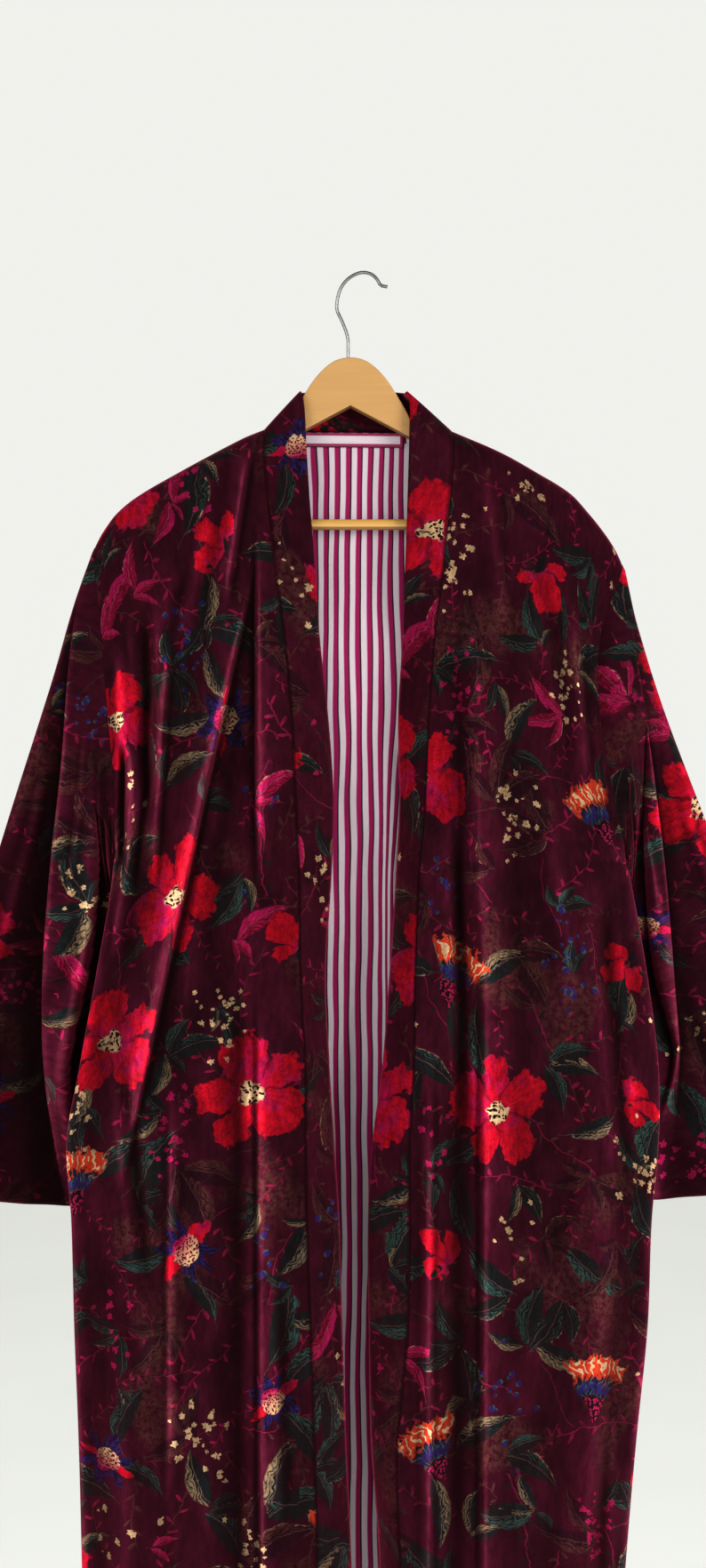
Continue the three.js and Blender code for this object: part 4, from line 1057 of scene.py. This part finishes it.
def draw_flowers(tree, colour, wobble, wobble2, brush):
    """Open red flowers, dark blue stars with a domed heart, tufts and side-on buds."""
    x, y, kind = split(tree, attribute(tree, "flower")["Vector"])
    tone = kind.fract()
    x, y = x + wobble * 0.30, y + wobble2 * 0.30
    is_star = kind.is_kind(2)
    is_bud = kind.is_kind(4)
    flat_y = y * (tone * 0.45 + 0.9)
    radius = length(x, flat_y)
    turned = flat_y.math("ARCTAN2", x)
    angle = turned + (turned * 2.0 + tone * 9.0).sin() * 0.22
    half_petal = is_star * (math.pi / 8 - math.pi / 5) + math.pi / 5
    petal = angle.math("PINGPONG", half_petal) / half_petal
    teeth = (angle * 17.0 + wobble * 9.0).sin() * 0.03 + (brush - 0.5) * 0.14
    reach = 0.98 - (petal ** 2.8) * 0.5 * (1.0 - is_star) - petal * is_star * 0.5 + teeth
    reach = reach - is_bud * (0.42 - turned.math("COSINE") * 0.42)
    shape = (reach - radius).over(0.0, 0.05)
    streaks = (angle * 34.0 + wobble * 24.0 + radius * 5.0).sin() * 0.15 + brush - radius * 0.12
    warm = (x * 0.35 + wobble2 * 1.3 + radius * 0.6).over(0.08, 0.5)
    red = mixed(warm, MAGENTA, RED)
    red = mixed(streaks.under(0.36, 0.4) * 0.55, red, RED_DEEP)
    between = (petal + wobble * 0.5).over(0.88, 0.2) * 0.85
    red = mixed(between, red, RED_DEEP)
    red = mixed((petal * 0.5 + wobble2 + brush * 0.6).over(0.92, 0.3) * 0.4, red, RED_DEEP)
    blue = mixed(streaks.over(0.46, 0.4), NEARLY_BLACK, NAVY)
    petal_number = ((angle * (8 / (2 * math.pi))).math("ROUND") / 4.0).fract().abs()
    blue = mixed(petal_number.under(0.2, 0.1), blue, red)
    flower = mixed(is_star, red, blue)
    flower = mixed(is_bud * (x + wobble).under(-0.02, 0.12), flower, TEAL_DARK)
    dots = add_node(tree, "TexVoronoi", {"Scale": 11.5}, voronoi_dimensions="2D")
    place = add_node(tree, "CombineXYZ", {0: x, 1: flat_y})
    join(tree, dots, {"Vector": place.outputs[0]})
    dot = Wire(tree, dots.outputs["Distance"]).under(0.36, 0.12)
    heart_colour = mixed(is_star, CREAM, mixed(y.over(0.0, 0.5), MAGENTA, CREAM))
    heart = mixed(dot, heart_colour, mixed(is_star, NEARLY_BLACK, RED_DEEP))
    in_heart = (radius - is_star * 0.20 + is_bud + wobble * 0.1).under(0.21, 0.04)
    flower = mixed(in_heart, flower, heart)
    colour = mixed(shape * (1.0 - kind.is_kind(TUFT)), colour, flower)

    high = y + 0.8
    fan_radius = length(x, high)
    fan_angle = x.math("ARCTAN2", high)
    strokes = (fan_angle * 40.0 + wobble * 14.0).sin()
    tips = fan_radius + strokes * 0.06 + brush * 0.4
    fan = (0.56 - fan_angle.abs()).over(0.0, 0.08) * tips.under(1.7, 0.08) * kind.is_kind(TUFT)
    tuft = mixed((strokes + brush * 2.0).over(1.3, 0.6), TEAL_DARK, TEAL)
    tuft = mixed((tips - 1.0).abs().under(0.1, 0.14), tuft, NAVY)
    tuft = mixed(tips.over(1.24, 0.1), tuft, ORANGE)
    tuft = mixed(tips.over(1.38, 0.06) * strokes.over(0.5, 0.3), tuft, CREAM)
    cup = mixed(dot, NEARLY_BLACK, PINK)
    tuft = mixed(fan_radius.under(0.6, 0.06), tuft, cup)
    return mixed(fan, colour, tuft)


def draw_blossoms(tree, colour, brush):
    """Clusters of small ragged blossoms and dark berries."""
    x, y, kind = split(tree, attribute(tree, "blossom")["Vector"])
    radius = length(x, y)
    angle = y.math("ARCTAN2", x)
    is_berry = kind.is_kind(3)
    petal_reach = (angle * 2.5).math("COSINE").abs() * 0.4 + (brush - 0.5) * 2.6 + 0.45
    reach = petal_reach * (1.0 - is_berry) + is_berry * 0.8
    shape = (reach - radius).over(0.0, 0.2)
    petals = mixed(kind.is_kind(2), CREAM, MAGENTA)
    petals = mixed((radius + brush).under(0.6, 0.2), petals, RED_DEEP)
    berry = mixed((x - y).under(-0.5, 0.3), NAVY, TEAL)
    return mixed(shape * 0.9, colour, mixed(is_berry, petals, berry))


# Painted shade and light: the velvet's colour grows lighter from the hollows of the folds to
# their crests, over this span of relief in millimetres, and then to this power.
PAINTED_LIGHT_HALFWAY, PAINTED_LIGHT_SPAN = -1.6, 20.0
FOLD_CONTRAST = 2.6
CREST_LIGHT, HOLLOW_LIGHT = 1.7, 0.04


def finish_as_velvet(tree, shader, colour):
    """The pile: soft patches where it leans, a sheen at the edges and a fine nap. Painted shade
    lies in the hollows of the folds, painted light on their crests and a painted highlight on
    the sharpest ones.
    """
    lean = cloth_noise(tree, 34, 3, 0.55, stretch=(1.6, 0.7))
    strokes = cloth_noise(tree, 190, roughness=0.6, stretch=(1, 0.35))
    relief = Wire(tree, attribute(tree, "relief")["Fac"])
    # a painted highlight on the sharpest crests of the folds
    colour = mixed(relief.over(9.0, 6.0) * 0.14, colour, PAINTED_CREST_HIGHLIGHT)
    nap = cloth_noise(tree, 760, roughness=0.7)
    grain = nap.over(0.5, 0.4) * 0.44 + 0.78
    pile = (lean.over(0.5, 0.6) * 0.52 + strokes.over(0.52, 0.45) * 0.52 + 0.40) * grain
    # painted shade in the hollows of the folds and painted light on their crests
    crest = relief.over(PAINTED_LIGHT_HALFWAY, PAINTED_LIGHT_SPAN) ** FOLD_CONTRAST
    light = pile * (crest * CREST_LIGHT + HOLLOW_LIGHT)
    shade = add_node(tree, "VectorMath", {0: colour, "Scale": light}, operation="SCALE")
    join(tree, shader, {
        "Base Color": shade.outputs[0], "Roughness": 0.9, "Specular IOR Level": 0.03,
        "Sheen Weight": 0.8, "Sheen Roughness": 0.42, "Sheen Tint": SHEEN})
    add_bump(tree, shader, nap * 0.6 + lean * 2.2, 0.5, 0.0006)


def make_printed_velvet():
    material, tree, shader = new_material("printed velvet")
    colour = draw_ground(tree)
    wobble, wobble2, _ = split(tree, cloth_noise(tree, 62, roughness=0.6, output="Color"))
    wobble, wobble2 = wobble - 0.5, wobble2 - 0.5
    brush = cloth_noise(tree, 170, 3, 0.65)
    colour = draw_twigs(tree, colour, wobble)
    colour = draw_leaves(tree, colour, wobble, wobble2, brush)
    colour = draw_flowers(tree, colour, wobble, wobble2, brush)
    colour = draw_blossoms(tree, colour, brush)
    finish_as_velvet(tree, shader, colour)
    return material


STRIPE_PERIOD = 0.0100
STRIPE_WHITE = srgb(186, 172, 179)
STRIPE_MAGENTA = srgb(128, 4, 64)
STRIPE_FRINGE = srgb(188, 98, 140)
STRIPE_BLACK = srgb(36, 10, 22)
THREAD_GREY = srgb(170, 160, 160)
THREADS = 3400

# Where each stripe begins, how soft its edge is, and its colour: in shares of the period on the
# lining, and in metres on the binding.
LINING_STRIPES = (
    (0.47, 0.05, STRIPE_FRINGE), (0.515, 0.05, STRIPE_MAGENTA), (0.875, 0.03, STRIPE_BLACK))
BINDING_STRIPES = (0.0030, 0.0004, STRIPE_WHITE), (0.0100, 0.0004, STRIPE_MAGENTA)


def draw_stripes(across, colour, stripes):
    for start, softness, stripe_colour in stripes:
        colour = mixed(across.over(start, softness), colour, stripe_colour)
    return colour


def finish_as_cotton(tree, shader, colour, stretch, gloss):
    """Uneven threads along one way, and a plain weave."""
    threads = cloth_noise(tree, 900, stretch=stretch)
    colour = mixed(threads.over(0.5, 0.8) * 0.18, colour, THREAD_GREY, "MULTIPLY")
    join(tree, shader, {"Base Color": colour, **gloss})
    along, across, _ = split(tree, cloth_place(tree, (THREADS, THREADS)))
    add_bump(tree, shader, along.sin() * across.sin(), 0.35, 0.0001)


def make_lining():
    """White, magenta and thin black stripes, with a soft pink fringe."""
    material, tree, shader = new_material("striped cotton lining")
    across, _, _ = split(tree, cloth_place(tree))
    ripple = cloth_noise(tree, 16, stretch=(1, 0.35))
    stripe = ((across + (ripple - 0.5) * 0.009) * (1 / STRIPE_PERIOD)).fract()
    colour = draw_stripes(stripe, STRIPE_WHITE, LINING_STRIPES)
    colour = mixed(stripe.under(0.015, 0.03), colour, STRIPE_BLACK)
    gloss = {"Roughness": 0.86, "Specular IOR Level": 0.2}
    finish_as_cotton(tree, shader, colour, (1, 0.08), gloss)
    return material


def make_binding():
    """Magenta, white and magenta along the strip, with its turned end at the right."""
    material, tree, shader = new_material("striped binding")
    along, across, _ = split(tree, cloth_place(tree))
    colour = draw_stripes(across, STRIPE_MAGENTA, BINDING_STRIPES)
    colour = mixed(across.under(0.0006, 0.0004), colour, STRIPE_BLACK)
    colour = mixed(along.over(0.0955, 0.0005), colour, STRIPE_MAGENTA)
    finish_as_cotton(tree, shader, colour, (0.08, 1), {"Roughness": 0.84})
    return material


# painted shade for the wood's underside
UNDERSIDE_SHADE = srgb(104, 62, 30)


def make_wood(name, light, dark, grain_scale, gloss):
    """Planed wood with long uneven grain along x, and painted shade on the faces that turn
    downwards.
    """
    material, tree, shader = new_material(name)
    place = add_node(tree, "TexCoord", {}).outputs["Object"]
    place = add_node(tree, "Mapping", {"Scale": (2.4, 60, grain_scale), 0: place}).outputs[0]
    grain = noise(tree, place, 3.2, 5, distortion=0.15)
    pores = noise(tree, place, 14, 3)
    colour = mixed(grain.over(0.56, 0.9) * 0.7 + pores * 0.25, light, dark)
    _, _, upwards = split(tree, add_node(tree, "NewGeometry", {}).outputs["Normal"])
    # painted shade on the faces that turn downwards
    colour = mixed(upwards.under(-0.45, 0.3) * 0.75, colour, UNDERSIDE_SHADE)
    join(tree, shader, {"Base Color": colour, "Roughness": gloss})
    add_bump(tree, shader, pores, 0.2, 0.0002)
    return material


def make_steel():
    """Drawn wire with fine scratches and a slightly dull plating."""
    material, tree, shader = new_material("plated steel wire")
    scratches = noise(tree, add_node(tree, "TexCoord", {}).outputs["Object"], 160, 3)
    colour = mixed(scratches, srgb(104, 104, 103), srgb(136, 136, 134))
    join(tree, shader, {"Base Color": colour, "Roughness": scratches * 0.08 + 0.34, "Metallic": 1})
    add_bump(tree, shader, scratches, 0.06, 0.0001)
    return material


PALE = srgb(240, 241, 236)


def make_floor():
    material, tree, shader = new_material("pale studio floor")
    clouds = noise(tree, add_node(tree, "TexCoord", {}).outputs["Object"], 2.5, 3)
    tone = mixed(clouds, srgb(232, 233, 228), PALE)
    join(tree, shader, {
        "Base Color": tone, "Roughness": 0.8, "Emission Color": tone, "Emission Strength": 0.55})
    return material


VELVET = make_printed_velvet()
LINING = make_lining()
BINDING = make_binding()
LINED_VELVET = (VELVET, LINING)


# The cloth pieces. A `cut` is the place on the printed sheet where a piece's hem begins, in metres.

def panel_uv(grid, start_column, cut, direction=1, upright_x=None):
    """Print coordinates of a panel: across from one of its columns, or from an upright line
    where one is given, and up from the hem."""
    across = along_lengths(grid, 1)
    if upright_x is None:
        start = across[:, start_column]
    else:
        start = np.array([np.interp(upright_x, line[:, 0], run) for line, run in zip(grid, across)])
    across = across - start[:, None]
    up = along_lengths(grid, 0)
    up = up[-1] - up
    level = np.mean(up, axis=1, keepdims=True)
    return np.stack([cut[0] + direction * across * MM, cut[1] + mix(up, level, 0.5) * MM], axis=-1)


def hang(piece, node, flat, slot="velvet", **sheet_facts):
    """Puts a finished cloth piece in its solid's place, with the solid hidden."""
    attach(piece, "root")
    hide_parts(node)


# painted shade along a seam, as a fall in relief in millimetres
SEAM_SHADE = 7


def shaded_seam(relief, column):
    """Relief with one edge lowered, for a line of painted shade along a seam."""
    relief[:, column] -= SEAM_SHADE
    return relief


# where the velvet is turned in over the lining, and the edges that meet another piece
SIDE_FACING = (ALL, slice(None, EDGE_COLUMNS + 4))
OTHER_SIDE_FACING = (ALL, slice(-EDGE_COLUMNS - 4, None))
BAND_FACING = (ALL, slice(-3, None))
TOP_FACING = (slice(None, 2), ALL)
SLEEVE_FACING = (slice(None, 52), ALL)
SIDE_SEAMS = (ABOVE_UNDERARM, 0, X_AXIS), (BELOW_UNDERARM, 0, Y_AXIS)
OTHER_SIDE_SEAMS = (ABOVE_UNDERARM, -1, X_AXIS), (BELOW_UNDERARM, -1, Y_AXIS)

fronts = {}
for side, node, cut, flat in (
    (LEFT, "front_left", (0.36, 0.06), (0.215, 1.175)),
    (RIGHT, "front_right", (0.50, 0.10), (0.225, 1.175)),
):
    front = fronts[side] = front_grid(side)
    normals = normals_of(front, (0, -1, 0.2))
    inner = inset(front, normals, CLOTH, (*SIDE_SEAMS, (ALL, -1, X_AXIS)))
    hang(
        cloth_object(node + "_cloth", front, inner, panel_uv(front, -1, cut, -side), LINED_VELVET,
                     relief=shaded_seam(relief_of(front, normals), -1),
                     facing=(SIDE_FACING, BAND_FACING)),
        node, flat, rests_on=["hanger_wood"])

back = back_grid()
back_normals = normals_of(back, (0, 1, 0.2))
hang(
    cloth_object("back_cloth", back, inset(back, back_normals, CLOTH, SIDE_SEAMS + OTHER_SIDE_SEAMS),
                 panel_uv(back, 0, (1.30, 0.04), upright_x=0), LINED_VELVET,
                 relief=relief_of(back, back_normals),
                 facing=(SIDE_FACING, OTHER_SIDE_FACING, TOP_FACING)),
    "back", (0.52, 1.19), rests_on=["hanger_wood"])


def sleeve_object(side, name, cut):
    grid, painted_hollows = sleeve_grid(fronts[side], back, side)
    centre = grid.mean(axis=1, keepdims=True)
    normals = normals_of(grid, grid - centre, is_ring=True)
    inner = inset(grid, normals, CLOTH, ((slice(0, 2), ALL, X_AXIS),))
    # the print lies straight along the sleeve, on its front and again on its back
    rows = SIDES[side].sleeve
    run = np.array([rows["top_x"][-1] - rows["top_x"][0], rows["top_drop"][0] - rows["top_drop"][-1]])
    run = run / np.linalg.norm(run)
    flat = grid[..., [0, 2]] - grid[0, 0, [0, 2]]
    places = np.stack([flat @ run, flat @ np.array([run[1], -run[0]]) * side], axis=-1)
    is_back = grid[..., 1:2] > centre[..., 1:2]
    cells = grid_corners(places, is_ring=True)
    back_cell = grid_corners(is_back, is_ring=True)[:, :2, 0].all(axis=1)
    cells[back_cell, :, 1] *= -1
    # the relief with the painted shade of the sleeve's hollows
    relief = relief_of(grid, normals, is_ring=True) + painted_hollows
    return cloth_object(name, grid, inner, cut + places * MM, LINED_VELVET, cut + cells * MM,
                        is_ring=True, relief=relief, facing=(SLEEVE_FACING,))


hang(sleeve_object(LEFT, "sleeve_left_cloth", (0.96, 1.30)), "sleeve_left", (0.54, 0.61), area=0.175)
hang(sleeve_object(RIGHT, "sleeve_right_cloth", (0.16, 1.62)), "sleeve_right", (0.54, 0.59), area=0.165)


def band_object(name, grid, outside, seams, cut, direction):
    normals = normals_of(grid, outside)
    inner = inset(grid, normals, BAND_CLOTH, seams)
    relief = shaded_seam(relief_of(grid, normals, NARROW_RELIEF), 0)
    return cloth_object(name, grid, inner, panel_uv(grid, 0, cut, direction), (VELVET, VELVET),
                        relief=relief)


for side, node, cut in ((LEFT, "band_left", (0.08, 0.30)), (RIGHT, "band_right", (0.22, 0.12))):
    seams = ((0, ALL, Y_AXIS), (ALL, 0, X_AXIS))
    outside = (0.5 * side, -1, 0.5)
    hang(band_object(node + "_cloth", front_band_grid(side), outside, seams, cut, -side),
         node, (0.04, 1.20))
neck_seams = ((0, ALL, Y_AXIS), (-1, ALL, Y_AXIS), (ALL, 0, Z_AXIS))
hang(band_object("band_neck_cloth", neck_band_grid(), (0, 1, 0.4), neck_seams, (0.73, 0.96), 1),
     "band_neck", (0.04, 0.19))

# The back's lining lies inside it, clear of the side seams. A fold right of the middle takes up
# some of the stripes.
PINCH_ACROSS = (18, 11)
PINCH_DOWN = (380, 200)
LINING_PINCH = 0.012
lining_rows = slice(len(back) - LOWER_ROWS - ARMHOLE_ROWS - 1, None, 2)
lining_cells = lining_rows, slice(EDGE_COLUMNS + 1, -EDGE_COLUMNS - 1)
lining_outer = inset(back, back_normals, CLOTH + SEAM_GAP)[lining_cells]
lining_inner = inset(back, back_normals, CLOTH + SEAM_GAP + LINING_CLOTH)[lining_cells]
lining_uv = panel_uv(lining_outer, 0, (0.5, 0), upright_x=0)
taken_up = fades(lining_outer[..., 0], PINCH_ACROSS) * fades(-lining_outer[..., 2], PINCH_DOWN)
lining_uv[..., 0] += taken_up * LINING_PINCH
hang(
    cloth_object("lining_back_cloth", lining_outer, lining_inner, lining_uv, (LINING, LINING),
                 printed=False),
    "lining_back", (0.48, 1.17), slot="lining")


def binding_grid(extra):
    """The strip over the neck seam: its face on the lining, or the other one, `extra` from it."""
    inset_depth = CLOTH + SEAM_GAP + LINING_CLOTH + SEAM_GAP + extra
    x = np.linspace(BINDING_LEFT, BINDING_RIGHT, BINDING_COLUMNS)[None, :]
    below = np.linspace(1, BINDING_WIDTH, BINDING_ROWS)[:, None]
    drop = top_drop(x) + below
    puff = 0.5 * np.sin(math.pi * (below - 1) / (BINDING_WIDTH - 1)) * (extra > 0)
    y = depth(drop, "back") - inset_depth - puff
    return np.stack([x + 0 * drop, y, -drop], axis=-1)


binding_outer = binding_grid(0)
hang(
    cloth_object("neck_binding_cloth", binding_outer, binding_grid(BINDING_CLOTH),
                 panel_uv(binding_outer, 0, (0, 0)), (BINDING, BINDING), printed=False),
    "neck_binding", (0.10, 0.0135), slot="binding")

# The hanger keeps its own solids
BEECH = make_wood("varnished beech", srgb(184, 140, 83), srgb(161, 116, 63), 44, 0.42)
BAR_WOOD = make_wood("varnished bar", srgb(200, 152, 70), srgb(170, 122, 53), 60, 0.38)
STEEL = make_steel()
for node, material in (("hanger_wood", BEECH), ("hanger_bar", BAR_WOOD), ("hanger_hook", STEEL)):
    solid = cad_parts[node]
    solid.data.materials.clear()
    solid.data.materials.append(material)

# The studio: a pale floor under the robe, with soft light from both sides and a little from below
FLOOR_DROP = 2000
bpy.ops.mesh.primitive_plane_add(size=30, location=(0, 0, -FLOOR_DROP * MM))
floor = bpy.context.object
floor.name = "studio_floor"
floor.data.materials.append(make_floor())

bpy.context.scene.view_settings.view_transform = "Standard"
world = bpy.data.worlds.new("pale studio")
world.use_nodes = True
sky = world.node_tree
_, behind, _ = split(sky, add_node(sky, "TexCoord", {}).outputs["Generated"])
surround = mixed(behind.over(0.62, 0.34), srgb(96, 97, 96), PALE)
join(sky, sky.nodes["Background"], {"Color": surround})
bpy.context.scene.world = world

for name, place, target, size, power in (
    ("key light", (-1.8, -2.0, 0.6), (0, 0, -0.7), (1.5, 1.5), 47),
    ("right light", (2.1, -1.7, 0.2), (0, 0, -0.7), (1.2, 1.6), 84),
    ("low light", (0.2, -2.6, -1.2), (0, 0, -1.0), (1.4, 1.0), 15),
):
    light_data = bpy.data.lights.new(name, "AREA")
    light_data.shape = "RECTANGLE"
    light_data.size, light_data.size_y = size
    light_data.energy = power
    light = bpy.data.objects.new(name, light_data)
    light.location = place
    light.rotation_euler = (Vector(target) - Vector(place)).to_track_quat("-Z", "Y").to_euler()
    bpy.context.scene.collection.objects.link(light)

camera_data = bpy.data.cameras.new("camera")
camera_data.sensor_fit = "AUTO"
camera_data.sensor_width = 36
camera_data.lens = 34.44
camera_data.clip_end = 60
camera = bpy.data.objects.new("camera", camera_data)
camera.location = (-0.008, -1.350, -0.4588)
camera.rotation_euler = (math.radians(90), 0, 0)
bpy.context.scene.collection.objects.link(camera)
bpy.context.scene.camera = camera
